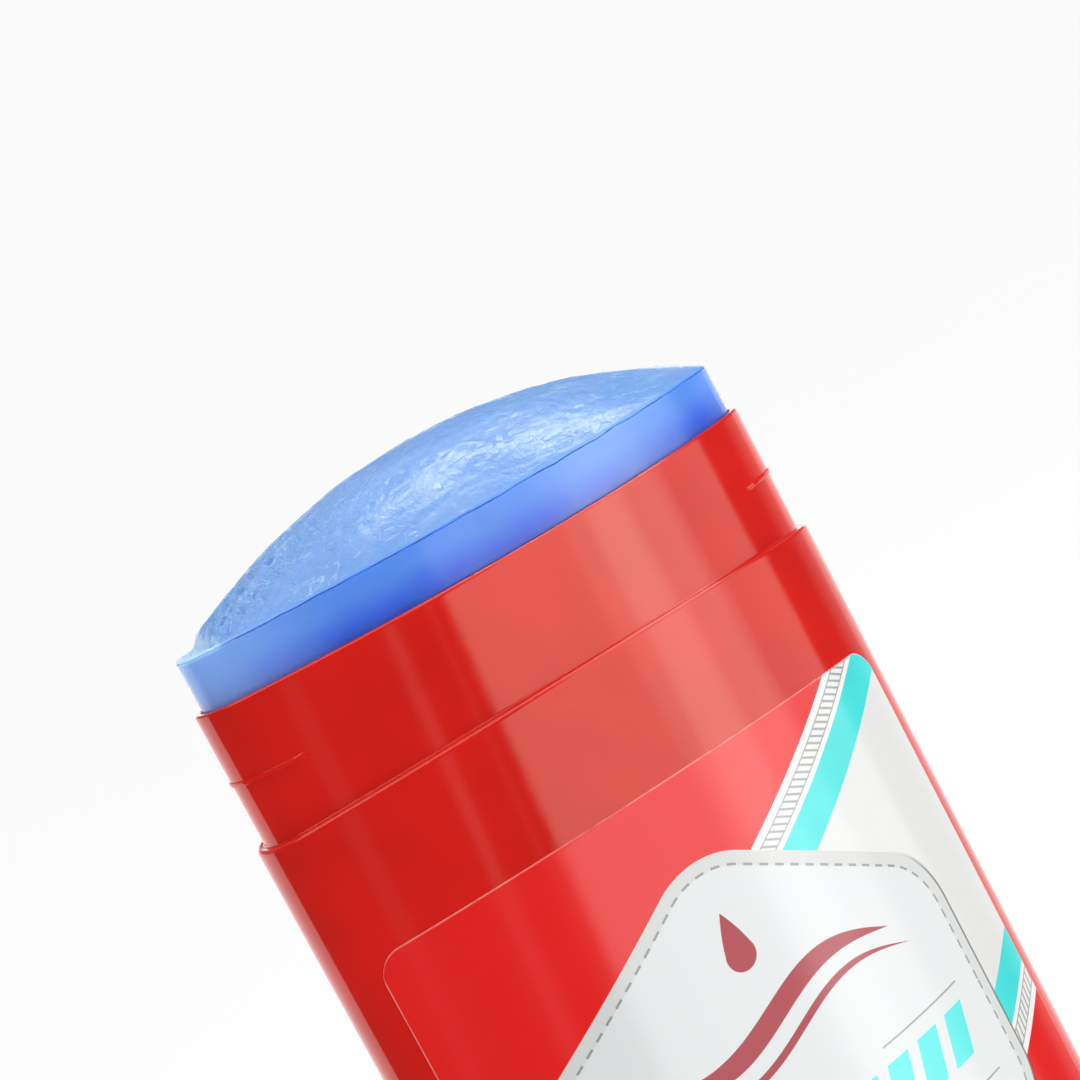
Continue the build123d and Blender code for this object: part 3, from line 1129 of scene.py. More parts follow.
@dataclass
class Case:
    """The case: body, arched shoulder and collar in one moulding, with a thumb window each side.

    Sizes are in millimetres, and heights count from the floor.

    Attributes:
        oval: the plan outline.
        foot: height of the foot.
        rim: height of the rim.
        collar_height: from the crown of the shoulder to the rim.
        collar_step: how far the collar is inside the outline.
        collar_wall: thickness of the collar.
        shoulder_radius: radius of the shoulder's arch.
        shoulder_edge: radius of the shoulder's outer edge.
        root_radius: radius of the corner between shoulder and collar.
        rim_edge: radius of the rim's outer edge.
        bore_edge: radius of the rim's inner edge.
        bead_drop: from the rim to the middle of the snap bead.
        bead_height: height of the bead.
        bead_proud: how far it stands out.
        bead_start: X from which it runs round the ends.
        window_half: half the width of the thumb window.
        window_top: height of its top.
        window_corner: radius of its upper corners.
        even_margin: how far past the window the crowded columns go.
        calm: height from which the columns no longer follow the window.
        finish: the plastic.
    """

    oval: Oval
    foot: float
    rim: float
    collar_height: float = 11.9
    collar_step: float = 0.9
    collar_wall: float = 0.7
    shoulder_radius: float = 320.0
    shoulder_edge: float = 0.4
    root_radius: float = 0.15
    rim_edge: float = 0.28
    bore_edge: float = 0.12
    bead_drop: float = 7.0
    bead_height: float = 0.5
    bead_proud: float = 0.2
    bead_start: float = 25.3
    window_half: float = 11.44
    window_top: float = 10.0
    window_corner: float = 2.5
    even_margin: float = 5.0
    calm: float = 15.0
    finish: MouldedPlastic = MouldedPlastic("case_plastic", linear(218, 24, 15))

    @property
    def bore(self) -> float:
        """Distance of the bore inside the outline."""
        return self.collar_step + self.collar_wall

    @property
    def shoulder_crown(self) -> float:
        """Height of the shoulder in the middle of the broad faces."""
        return self.rim - self.collar_height

    def shoulder(self, heading: np.ndarray) -> np.ndarray:
        """Height of the shoulder: its crown, less the drop R - sqrt(R^2 - x^2) of its arc."""
        x = self.oval.points(heading, 0.0, 0.0)[..., 0]
        return self.shoulder_crown - self.shoulder_radius + np.sqrt(self.shoulder_radius**2 - x**2)

    def columns(self) -> tuple[np.ndarray, np.ndarray, np.ndarray]:
        """Lays out the columns of the grid over one quarter.

        Formula: near the foot the columns follow the lower edge, along the top of the window,
        round its corner, down its side and along the foot. Higher up they spread evenly.

        Returns:
            X of each column at the lower edge, its height there, and its heading higher up.
        """
        half, top, corner = self.window_half, self.window_top, self.window_corner
        bend = np.linspace(0, pi / 2, 9)[1:]
        lintel = np.linspace(0, half - corner, 14)
        side = np.linspace(top - corner, self.foot, 7)[1:]
        ground = self.oval.heading_at(np.linspace(self.window_way(), self.oval.face_run, 34)[1:])
        ends = np.linspace(self.oval.turn, pi / 2, 26)[1:]
        x = np.concatenate(
            [lintel, half - corner + corner * np.sin(bend), np.full(len(side), half)]
        )
        z = np.concatenate([np.full(len(lintel), top), top - corner + corner * np.cos(bend), side])
        low = np.concatenate([self.oval.heading_of_x(x, 0.0), ground, ends])
        z = np.concatenate([z, np.full(len(ground) + len(ends), self.foot)])
        crowded = self.window_way() + self.even_margin
        spread = np.linspace(0, crowded, len(x))
        rest = np.linspace(crowded, self.oval.face_run, len(ground) + 1)[1:]
        high = np.concatenate([self.oval.heading_at(np.concatenate([spread, rest])), ends])
        return low, z, high

    def window_way(self) -> float:
        """Distance along the outline from the middle of the face to the side of the window."""
        return self.oval.face * float(self.oval.heading_of_x(np.array(self.window_half), 0.0))

    def collar_profile(self) -> np.ndarray:
        """Profile of the shoulder, collar, bead, rim and the top of the bore.

        Returns:
            Rows of inset, height, and the Level that the height counts from.
        """
        edge, root, step, rim = self.shoulder_edge, self.root_radius, self.collar_step, self.rim_edge
        inner, bore = self.bore_edge, self.bore
        shoulder = np.vstack(
            [
                [[0.0, -edge]],
                arc((0.0, -edge), (edge, -edge), -pi / 2, 5),
                [[step - root, 0.0]],
                arc((step - root, 0.0), (step - root, root), pi / 2, 4),
            ]
        )
        rises = np.array([-1.1, -1.0, -0.8, -0.45, 0.0, 0.45, 0.8, 1.0, 1.1]) * self.bead_height / 2
        bead = np.stack([np.full(len(rises), step), rises - self.bead_drop], axis=-1)
        top = np.vstack(
            [
                [[step, -rim]],
                arc((step, -rim), (step + rim, -rim), -pi / 2, 5),
                [[bore - inner, 0.0]],
                arc((bore - inner, 0.0), (bore - inner, -inner), -pi / 2, 3),
                [[bore, -self.collar_height]],
            ]
        )
        parts = {Level.SHOULDER: shoulder, Level.BEAD: bead, Level.RIM: top}
        levels = np.concatenate([np.full(len(part), level) for level, part in parts.items()])
        return np.column_stack([np.vstack(list(parts.values())), levels])

    def rows(self) -> np.ndarray:
        """Works out every ring of the case, up the outside, over the rim and down the bore.

        Formula: from the foot to the calm height, each column mixes its place round the window
        with its even place. The bead stands out by a bulge that fades in over its start.

        Returns:
            The rings, rows by columns by 3. The last one joins the first under the foot.
        """
        low, low_z, high = self.columns()
        top = whole_turn(high)
        foot, foot_z = whole_turn(low), mirrored(low_z)
        blend = np.array([0.0, 0.12, 0.3, 0.55, 0.8, 1.0])[:, None]
        skirt_heading = (1 - blend) * foot + blend * top
        skirt_z = (1 - blend) * foot_z + blend * self.calm
        shoulder = self.shoulder(top)
        reach = shoulder - self.shoulder_edge - self.calm
        walls = self.calm + np.linspace(0, 1, 9)[1:-1, None] * reach
        profile = self.collar_profile()
        counts_from = np.where(profile[:, 2:] == Level.SHOULDER, shoulder[None, :], self.rim)
        inset = np.repeat(profile[:, :1], len(top), axis=1)
        x = np.abs(self.oval.points(top, self.collar_step, 0.0)[..., 0])
        bulge = np.array([0, 0.25, 0.8, 1, 1, 1, 0.8, 0.25, 0])[:, None] * self.bead_proud
        fade_in = smooth_step(x, self.bead_start - 0.3, self.bead_start + 1.6)
        inset[profile[:, 2] == Level.BEAD] -= bulge * fade_in
        depth = np.linspace(self.rim - self.collar_height, self.calm, 8)[1:, None]
        return np.concatenate(
            [
                self.oval.points(skirt_heading, 0.0, skirt_z),
                self.oval.points(top[None, :], 0.0, walls),
                self.oval.points(top[None, :], inset, counts_from + profile[:, 1:2]),
                self.oval.points(top[None, :], self.bore, depth + 0 * top),
                self.oval.points(skirt_heading, self.bore, skirt_z)[::-1][1:],
            ]
        )

    def build(self) -> bpy.types.Object:
        """Builds the case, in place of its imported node.

        Returns:
            The case.
        """
        rows = guarded(self.rows())
        piece = ring_piece("case_shell", rows, self.finish.material(), closed_loop=True)
        return settle(piece, "case", "root")


@dataclass
class Label:
    """A printed film on a broad face, wrapped a little way round both ends.

    Sizes are in millimetres. Its UV map holds the distance round the case and the height, so the
    print keeps its true size where the film bends.

    Attributes:
        oval: the case's plan outline.
        side: the broad face that it is on.
        foot: height of its lower edge.
        crown: height of its upper edge in the middle.
        half_x: how far it reaches to either side, along X.
        proud: how far it stands out of the case.
        sunk: how far its inner skin is inside the case's face.
        top_radius: radius of its arched upper edge.
        corner: radius of its corners.
        lip: how far its edges are drawn in, towards the case.
        finish: its print.
    """

    oval: Oval
    side: Side
    foot: float
    crown: float
    half_x: float = 28.9
    proud: float = 0.12
    sunk: float = 0.05
    top_radius: float = 278.0
    corner: float = 2.6
    lip: float = 0.05
    finish: Print = Print()
    uv_name = "print"
    rim_name = "rim_distance"

    def outline_z(self, way: np.ndarray, half: float) -> tuple[np.ndarray, np.ndarray]:
        """Heights of the film's lower and upper edges.

        Formula: the upper edge falls from its crown as R - sqrt(R^2 - x^2), and both edges draw in
        at a corner of radius r by r - sqrt(r^2 - t^2), where t is how far into the corner it is.

        Args:
            way: distance along the outline from the middle of the face.
            half: half the film's length along the outline.

        Returns:
            The lower and upper heights.
        """
        x = self.oval.points(self.oval.heading_at(way), 0.0, 0.0)[..., 0]
        into = np.clip(np.abs(way) - (half - self.corner), 0, self.corner * 0.9999)
        draw_in = self.corner - np.sqrt(self.corner**2 - into**2)
        top = self.crown - self.top_radius + np.sqrt(self.top_radius**2 - x**2)
        return self.foot + draw_in, top - draw_in

    def build(self) -> bpy.types.Object:
        """Builds the film as a closed shell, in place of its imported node.

        Formula: a grid over the distance along the outline and the share of the height makes the
        outer skin, the same grid sunk in the case the inner one, and a wall joins their borders.

        Returns:
            The film, with its UV map and its distance from the rim.
        """
        half = self.oval.face * float(self.oval.heading_of_x(np.array(self.half_x), 0.0))
        bend = half - self.corner * (1 - np.sin(np.linspace(0, pi / 2, 13)))
        ways = np.concatenate([-bend[::-1], np.linspace(-bend[0], bend[0], 130)[1:-1], bend])
        low, high = self.outline_z(ways, half)
        share = np.concatenate([[0.0, 0.0015], np.linspace(0.003, 0.997, 70), [0.9985, 1.0]])[:, None]
        z = low + share * (high - low)
        heading = self.oval.heading_at(ways)[None, :]
        proud = np.full(z.shape, self.proud)
        proud[[0, -1]] -= self.lip
        proud[:, [0, -1]] = self.proud - self.lip
        outer = self.oval.points(heading, -proud, z)
        inner = self.oval.points(heading, self.sunk, z)
        if self.side is Side.BACK:
            outer, inner = (a * np.array([-1, -1, 1]) for a in (outer, inner))
        rows, columns = z.shape
        count = rows * columns
        skin = grid_faces(rows, columns, False, False)
        number = np.arange(count).reshape(rows, columns)
        rim = np.concatenate([number[0], number[1:, -1], number[-1, -2::-1], number[-2:0:-1, 0]])
        after = np.roll(rim, -1)
        wall = np.stack([rim + count, after + count, after, rim], axis=-1)
        faces = [skin, skin[:, ::-1] + count, wall]
        points = np.concatenate([outer.reshape(-1, 3), inner.reshape(-1, 3)])
        name = f"{self.side.name.lower()}_film"
        piece = mesh_object(name, points, faces, self.finish.material(self.side), crisp=60.0)
        layer = piece.data.uv_layers.new(name=self.uv_name)
        flat = np.stack([np.broadcast_to(ways, z.shape), z], axis=-1).reshape(-1, 2)
        corners = np.empty(len(piece.data.loops), dtype=np.int32)
        piece.data.loops.foreach_get("vertex_index", corners)
        both = np.concatenate([flat, flat])[corners]
        layer.data.foreach_set("uv", both.astype(np.float32).ravel())
        inward = np.minimum(np.minimum(high - z, z - low), half - np.abs(ways))
        rim = piece.data.attributes.new(self.rim_name, "FLOAT", "POINT")
        rim.data.foreach_set("value", np.concatenate([inward.ravel()] * 2).astype(np.float32))
        return settle(piece, f"{self.side.name.lower()}_label", "root")


# ---------------------------------------------------------------------------------------------
# The gel
# ---------------------------------------------------------------------------------------------


@dataclass
class GelStick:
    """The gel: a foot in the elevator's lip, a straight wall, and a worked dome.

    Sizes are in millimetres.

    Attributes:
        oval: the case's plan outline.
        foot: height of its foot.
        peak: height of the top of the dome.
        inset: how far the wall is inside the outline.
        foot_inset: how far the foot is inside it.
        foot_height: height of the foot.
        dome: height of the dome.
        hole: radius of the blind hole round the spindle.
        hole_top: height of the hole's end.
        edge_groove: depth of the parting line at the wall's top edge.
        shelf: length of the rubbed-down end of the dome, along X.
        shelf_drop: how far it is rubbed down.
    """

    oval: Oval
    foot: float
    peak: float
    inset: float = 1.75
    foot_inset: float = 2.75
    foot_height: float = 3.05
    dome: float = 7.6
    hole: float = 4.6
    hole_top: float = 100.6
    edge_groove: float = 0.14
    shelf: float = 3.2
    shelf_drop: float = 0.75

    @property
    def edge(self) -> float:
        """Height of the wall's top edge."""
        return self.peak - self.dome

    def finish(self) -> Gel:
        """Chooses the gel's finish.

        Returns:
            The finish, with the heights of this piece.
        """
        return Gel(
            deep=linear(56, 98, 236),
            wall=linear(96, 154, 240),
            worked=linear(114, 162, 224),
            frost_and_glow=linear(186, 218, 250),
            seam=linear(44, 72, 150),
            edge=self.edge,
            shelf=-self.oval.width / 2 + self.inset + self.shelf,
        )

    def relief(self, x: np.ndarray, y: np.ndarray, share: np.ndarray) -> np.ndarray:
        """How far the worked dome departs from its plain shape, in millimetres.

        Formula: broad waves and fine ones all over; pits that deepen towards the low end, where a
        fine wave to the power 1.5 is taken off; and long creases beside the middle, where a wave
        stretched along X is sharpened into ridges. All of it fades at the edge.

        Args:
            x: first coordinate.
            y: second coordinate.
            share: how far out the point is of the whole way to the edge.

        Returns:
            The height to add at each point.
        """
        fade = smooth_step(1 - share, 0.0, 0.06)
        broad = 0.05 * restless(x, 2.2 * y, 9.0, 3)
        grain = 0.012 * restless(0.5 * x, y, 0.9, 5)
        pitted = smooth_step(-x, 8.0, 24.0) * smooth_step(y + 9, 0.0, 6.0)
        pits = -0.22 * np.maximum(restless(x, y, 1.5, 7), 0) ** 1.5 * (0.12 + pitted)
        creased = smooth_step(x, -2.0, 8.0) * smooth_step(-x, -24.0, -17.0)
        creased = creased * smooth_step(-y, -1.0, 1.5) * smooth_step(y, -9.5, -7.5)
        warped = y + 0.5 * restless(x, y, 6.0, 11)
        ridges = 0.09 * (1 - np.minimum(np.abs(restless(0.35 * x, warped, 1.6, 13)), 1)) ** 2
        shelf_from = self.oval.width / 2 - self.inset - self.shelf
        on_shelf = smooth_step(-x, shelf_from - 0.6, shelf_from + 0.9)
        low = -self.shelf_drop * on_shelf * smooth_step(1 - share, 0.0, 0.05)
        crumbs = 0.1 * on_shelf * np.maximum(restless(x, y, 0.8, 17), 0)
        return fade * (broad + grain + pits + ridges * creased) + low + crumbs * fade

    def rows(self) -> np.ndarray:
        """Works out every ring, from the top of the spindle's hole down, out, up and over.

        Formula: the dome's height over the edge is dome * (1 - share^2) plus the relief, where
        share is how far out the point is of the whole way to the edge.

        Returns:
            The rings, rows by columns by 3.
        """
        top = self.oval.headings(66, 34)
        shoulder = self.foot + self.foot_height
        rings = [self.round_ring(top, self.hole, z) for z in (self.hole_top, self.foot)]
        wall = [(self.foot_inset, self.foot), (self.foot_inset, shoulder)]
        wall += [(self.inset, z) for z in np.linspace(shoulder, self.edge - 1.2, 12)]
        rings += [self.oval.points(top, inset, z) for inset, z in wall]
        x, y, _ = np.moveaxis(self.oval.points(top, 0, 0), -1, 0)
        wobble = 0.05 * restless(x, y, 4.0, 23)
        lip = [(0.0, -0.7), (0.0, -0.35), (0.01, -0.22), (self.edge_groove, -0.15), (0.02, -0.08)]
        for extra, drop in lip:
            z = self.edge + drop + wobble * (1 + drop)
            rings.append(self.oval.points(top, self.inset + extra, z))
        rim = self.oval.points(top, self.inset + 0.04, self.edge)
        shares = 1 - np.concatenate([[0.0], np.linspace(0, 1, 84)[1:-1] ** 1.15])
        share = shares[:, None]
        x, y = rim[None, :, 0] * share, rim[None, :, 1] * share
        z = self.edge + self.dome * (1 - share**2) + self.relief(x, y, share)
        z = z + 0.3 * wobble * share**8
        dome = np.stack([x, y, np.minimum(z, self.peak)], axis=-1)
        return np.concatenate([np.stack(rings), dome])

    @staticmethod
    def round_ring(heading: np.ndarray, radius: float, z: float) -> np.ndarray:
        """Returns a level circle of points, one for each heading."""
        x, y = radius * np.sin(heading), -radius * np.cos(heading)
        return np.stack([x, y, np.full(len(heading), z)], axis=-1)

    def build(self) -> bpy.types.Object:
        """Builds the gel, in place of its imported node."""
        piece = ring_piece("gel_block", guarded(self.rows()), self.finish().material(), crisp=42.0)
        return settle(piece, "gel_stick", "elevator")


# ---------------------------------------------------------------------------------------------
# The cap
# ---------------------------------------------------------------------------------------------


@dataclass
class Cap:
    """The cap, standing on its mouth beside the stick with its long side along Y.

    Sizes are in millimetres.

    Attributes:
        oval: its plan outline.
        middle: X and Y of its middle.
        peak: height of its top.
        dome: height of its dome.
        wall: thickness of its wall.
        top: thickness of its dome.
        round_over: how far the rounding between wall and dome reaches.
        mouth_radius: radius of the mouth's arch.
        mouth_edge: radius of the mouth's edges.
        groove_z: height of the groove that takes the case's bead.
        groove_deep: depth of the groove.
        groove_height: height of the groove.
        groove_start: distance along the cap from which it runs round the ends.
        finish: the plastic.
    """

    oval: Oval
    middle: tuple[float, float]
    peak: float
    dome: float = 10.5
    wall: float = 0.8
    top: float = 1.2
    round_over: float = 1.5
    mouth_radius: float = 320.0
    mouth_edge: float = 0.2
    groove_z: float = 6.49
    groove_deep: float = 0.2
    groove_height: float = 0.7
    groove_start: float = 25.2
    finish: MouldedPlastic = MouldedPlastic(
        "cap_plastic", linear(240, 34, 22), gloss=0.14, glow=0.35, reach=1.6
    )

    @property
    def brow(self) -> float:
        """Height at which the dome would meet the wall if its edge were sharp."""
        return self.peak - self.dome

    def mouth(self, x: np.ndarray) -> np.ndarray:
        """Height of the mouth: an arc that is highest in the middle of the broad faces.

        Formula: sqrt(R^2 - x^2) less its value at the ends, so that the ends stand on the floor.

        Args:
            x: distance along the cap from its middle.

        Returns:
            The height at each point.
        """
        half = self.oval.width / 2
        arch = self.mouth_radius - sqrt(self.mouth_radius**2 - half**2)
        return arch - self.mouth_radius + np.sqrt(self.mouth_radius**2 - x**2)

    def shell(self, heading: np.ndarray, inset: float, brow: float, rise: float) -> np.ndarray:
        """Works out the rings from the top of the wall over the dome.

        Formula: the dome's height is brow + rise (1 - share^2), where share is how far out the
        point is of the whole way to the wall. A curve of the second degree rounds the edge.

        Args:
            heading: heading of each column.
            inset: how far the wall is inside the outline.
            brow: height of the sharp edge.
            rise: height of the dome over that edge.

        Returns:
            The rings, from the wall to near the middle.
        """
        rim = self.oval.points(heading, inset, 0.0)[..., :2]
        reach = np.hypot(rim[:, 0], rim[:, 1])
        start = 1 - self.round_over / reach
        t = np.linspace(0, 1, 9)[:, None]
        share = (1 - t) ** 2 + 2 * t * (1 - t) + t**2 * start
        landing = brow + rise * (1 - start**2)
        z = (1 - t) ** 2 * (brow - self.round_over) + 2 * t * (1 - t) * brow + t**2 * landing
        inner = np.linspace(1, 0, 40)[1:-1, None]
        share = np.concatenate([share, start * inner])
        z = np.concatenate([z, brow + rise * (1 - (start * inner) ** 2)])
        return np.concatenate([rim[None] * share[..., None], z[..., None]], axis=-1)

    def rows(self) -> np.ndarray:
        """Works out every ring, from inside the dome down to the mouth and up over the outside.

        Returns:
            The rings, rows by columns by 3, before the cap is turned and put in its place.
        """
        top = self.oval.headings(46, 26)
        x = self.oval.points(top, 0.0, 0.0)[..., 0]
        mouth, edge = self.mouth(x), self.mouth_edge
        inside = self.shell(top, self.wall, self.brow - self.top, self.dome)[::-1]
        half = self.groove_height / 2
        steps = np.array([1.0, 0.85, 0.6, 0.0, -0.6, -0.85, -1.0])
        depth = np.array([0.0, 0.5, 1.0, 1.0, 1.0, 0.5, 0.0]) * self.groove_deep
        ends = smooth_step(np.abs(x), self.groove_start - 0.3, self.groove_start + 0.3)
        groove = [
            self.oval.points(top, self.wall - deep * ends, self.groove_z + step * half)
            for step, deep in zip(steps, depth)
        ]
        turn = np.vstack(
            [
                [[self.wall, edge]],
                arc((self.wall, edge), (self.wall - edge, edge), -pi / 2, 4),
                arc((edge, 0.0), (edge, edge), -pi / 2, 4),
            ]
        )
        lip = [self.oval.points(top, inset, mouth + z) for inset, z in turn]
        outer = [
            self.oval.points(top, 0.0, mouth + share * (self.brow - self.round_over - mouth))
            for share in np.linspace(0.05, 0.97, 8)
        ]
        outside = self.shell(top, 0.0, self.brow, self.dome)
        return np.concatenate([inside, np.stack(groove), np.stack(lip), np.stack(outer), outside])

    def build(self) -> bpy.types.Object:
        """Builds the cap in its place, a quarter turn from the case.

        Returns:
            The cap.
        """
        x, y, z = np.moveaxis(guarded(self.rows()), -1, 0)
        placed = np.stack([self.middle[0] - y, self.middle[1] + x, z], axis=-1)
        piece = ring_piece("cap_shell", placed, self.finish.material(), crisp=50.0)
        return settle(piece, "cap", "root")


# ---------------------------------------------------------------------------------------------
# The works
# ---------------------------------------------------------------------------------------------


@dataclass
class ScrewSpindle:
    """The spindle: a six-sided key, a journal, a flange, a stop collar and a screw.

    Sizes are in millimetres. The screw's crest is as wide as its root and both are joined by
    slopes, and it climbs one pitch a turn.

    Attributes:
        foot: height of its foot.
        top: height of the screw's top.
        key_top: height of the key's top.
        journal_top: height of the journal's top.
        flange_top: height of the flange's top.
        stop_top: height of the stop collar's top.
        key_half: half the distance across the key's flats.
        journal: radius of the journal.
        flange: radius of the flange.
        stop: radius of the stop collar.
        crest: radius of the thread's crest.
        root: radius of its root.
        pitch: how far it climbs a turn.
        chamfer: how far the screw's top is bevelled.
        columns: how many points a ring has.
        rings: how many rings the screw has.
        finish: the plastic.
    """

    foot: float
    top: float
    key_top: float = 9.6
    journal_top: float = 12.0
    flange_top: float = 13.2
    stop_top: float = 18.0
    key_half: float = 3.0
    journal: float = 4.3
    flange: float = 6.8
    stop: float = 5.6
    crest: float = 4.0
    root: float = 3.25
    pitch: float = 4.0
    chamfer: float = 0.8
    columns: int = 56
    rings: int = 420
    finish: MouldedPlastic = MouldedPlastic(
        "spindle_plastic", linear(232, 232, 228), gloss=0.25, glow=0.3
    )

    def rows(self) -> np.ndarray:
        """Works out every ring from the key to the top of the screw.

        Formula: the radius of the screw is the root's plus a share of the thread's depth. The
        share is a wave of z / pitch - turn, cut off at 0 and 1 so that crest and root are flat.

        Returns:
            The rings, rows by columns by 3.
        """
        turn = np.linspace(0, 2 * pi, self.columns, endpoint=False)
        sixth = (turn + pi / 6) % (pi / 3) - pi / 6
        key = self.key_half / np.cos(sixth)
        plain = [
            (key, self.foot),
            (key, self.key_top),
            (self.journal, self.key_top),
            (self.journal, self.journal_top),
            (self.flange, self.journal_top),
            (self.flange, self.flange_top),
            (self.stop, self.flange_top),
            (self.stop, self.stop_top),
        ]
        radius = [np.broadcast_to(r, turn.shape) for r, _ in plain]
        height = [np.full(turn.shape, z) for _, z in plain]
        z = np.linspace(self.stop_top, self.top, self.rings)[:, None]
        wave = 2 * np.abs((z / self.pitch - turn / (2 * pi)) % 1 - 0.5)
        share = np.clip((wave - 0.3) / 0.4, 0, 1)
        thread = self.root + (self.crest - self.root) * share
        runout = smooth_step(z, self.stop_top, self.stop_top + 0.8)
        thread = self.root + (thread - self.root) * runout
        thread = np.minimum(thread, self.crest - self.chamfer + np.maximum(self.top - z, 0))
        radius = np.concatenate([np.stack(radius), thread])
        height = np.concatenate([np.stack(height), np.broadcast_to(z, thread.shape)])
        return np.stack([radius * np.sin(turn), -radius * np.cos(turn), height], axis=-1)

    def build(self) -> bpy.types.Object:
        """Builds the spindle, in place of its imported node."""
        piece = ring_piece("spindle_screw", self.rows(), self.finish.material())
        return settle(piece, "screw_spindle", "dial")


@dataclass
class SmoothedNode:
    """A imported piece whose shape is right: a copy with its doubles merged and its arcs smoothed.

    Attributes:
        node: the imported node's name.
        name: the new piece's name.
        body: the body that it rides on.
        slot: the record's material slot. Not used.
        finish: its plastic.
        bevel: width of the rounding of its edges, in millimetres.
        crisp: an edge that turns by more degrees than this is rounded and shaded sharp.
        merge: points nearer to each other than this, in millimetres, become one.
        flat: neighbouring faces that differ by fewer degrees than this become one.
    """

    node: str
    name: str
    body: str
    slot: str
    finish: MouldedPlastic
    bevel: float = 0.12
    crisp: float = 30.0
    merge: float = 0.002
    flat: float = 0.4

    def build(self) -> bpy.types.Object:
        """Builds the smoothed copy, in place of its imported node.

        Returns:
            The copy, with its edges rounded by a Bevel modifier.
        """
        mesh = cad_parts[self.node].data.copy()
        work = bmesh.new()
        work.from_mesh(mesh)
        bmesh.ops.remove_doubles(work, verts=work.verts, dist=self.merge * MM)
        bmesh.ops.dissolve_limit(
            work, angle_limit=radians(self.flat), verts=work.verts, edges=work.edges
        )
        work.to_mesh(mesh)
        work.free()
        mesh.name = self.name
        mesh.materials.clear()
        mesh.materials.append(self.finish.material())
        mesh.shade_smooth()
        mesh.set_sharp_from_angle(angle=radians(self.crisp))
        piece = bpy.data.objects.new(self.name, mesh)
        bpy.context.scene.collection.objects.link(piece)
        rounding = piece.modifiers.new("rounded_edges", "BEVEL")
        rounding.width = self.bevel * MM
        rounding.segments = 2
        rounding.limit_method = "ANGLE"
        rounding.angle_limit = radians(self.crisp)
        rounding.harden_normals = False
        return settle(piece, self.node, self.body)


# ---------------------------------------------------------------------------------------------
# The studio
# ---------------------------------------------------------------------------------------------


@dataclass(frozen=True)
class Panel:
    """A light panel seen in reflections, told by its direction from the stick, in degrees.

    Attributes:
        left: azimuth of its left edge, from the front towards +X, at the level of slant_from.
        right: azimuth of its right edge.
        low: elevation of its lower edge.
        high: elevation of its upper edge.
        light: how bright it is.
        soft: half the width of its left and right edges.
        lean: how many degrees the left edge shifts for each degree of elevation. The right edge of
            a narrow panel, less than 10 degrees wide, shifts as much.
        soft_right: half the width of the right edge, where it isn't soft's.
    """

    left: float
    right: float
    low: float
    high: float
    light: float
    soft: float = 1.0
    lean: float = 0.0
    soft_right: float | None = None

    def seen(self, azimuth: Field, elevation: Field, slant_from: float) -> Field:
        """Works out the panel's light in a direction.

        Formula: its light times an S curve at each of its four edges.

        Args:
            azimuth: the direction's azimuth, in degrees.
            elevation: its elevation, in degrees.
            slant_from: elevation at which the panel's azimuths are its own.

        Returns:
            The light, 0 outside the panel.
        """
        shifted = azimuth - self.lean * (elevation.between(-35.0, 20.0) - slant_from)
        far = shifted if self.right - self.left < 10 else azimuth
        inside = shifted.above(self.left, self.soft)
        inside = inside * far.below(self.right, self.soft_right or self.soft)
        inside = inside * elevation.above(self.low, 3.0) * elevation.below(self.high, 3.0)
        return inside * self.light


@dataclass(frozen=True)
class Strip:
    """A long lamp overhead, seen in reflections, told by where it lies one unit above the stick.

    Attributes:
        left: lowest X, for each unit of height.
        right: highest X.
        near: lowest Y.
        far: highest Y.
        light: how bright it is.
        soft: half the width of its long edges.
    """

    left: float
    right: float
    near: float
    far: float
    light: float
    soft: float = 0.035

    def seen(self, x: Field, y: Field, z: Field) -> Field:
        """Works out the strip's light in a direction.

        Formula: the direction meets the level one unit up at (x / z, y / z). The light there is the
        strip's times an S curve at each of its four edges, and fades where the view is low.

        Args:
            x: the direction's X.
            y: its Y.
            z: its Z.

        Returns:
            The light, 0 outside the strip.
        """
        above = z.most(0.05)
        along, across = x / above, y / above
        inside = across.above(self.near, self.soft) * across.below(self.far, self.soft)
        inside = inside * along.above(self.left, 0.15) * along.below(self.right, 0.15)
        return inside * z.above(0.3, 0.1) * self.light


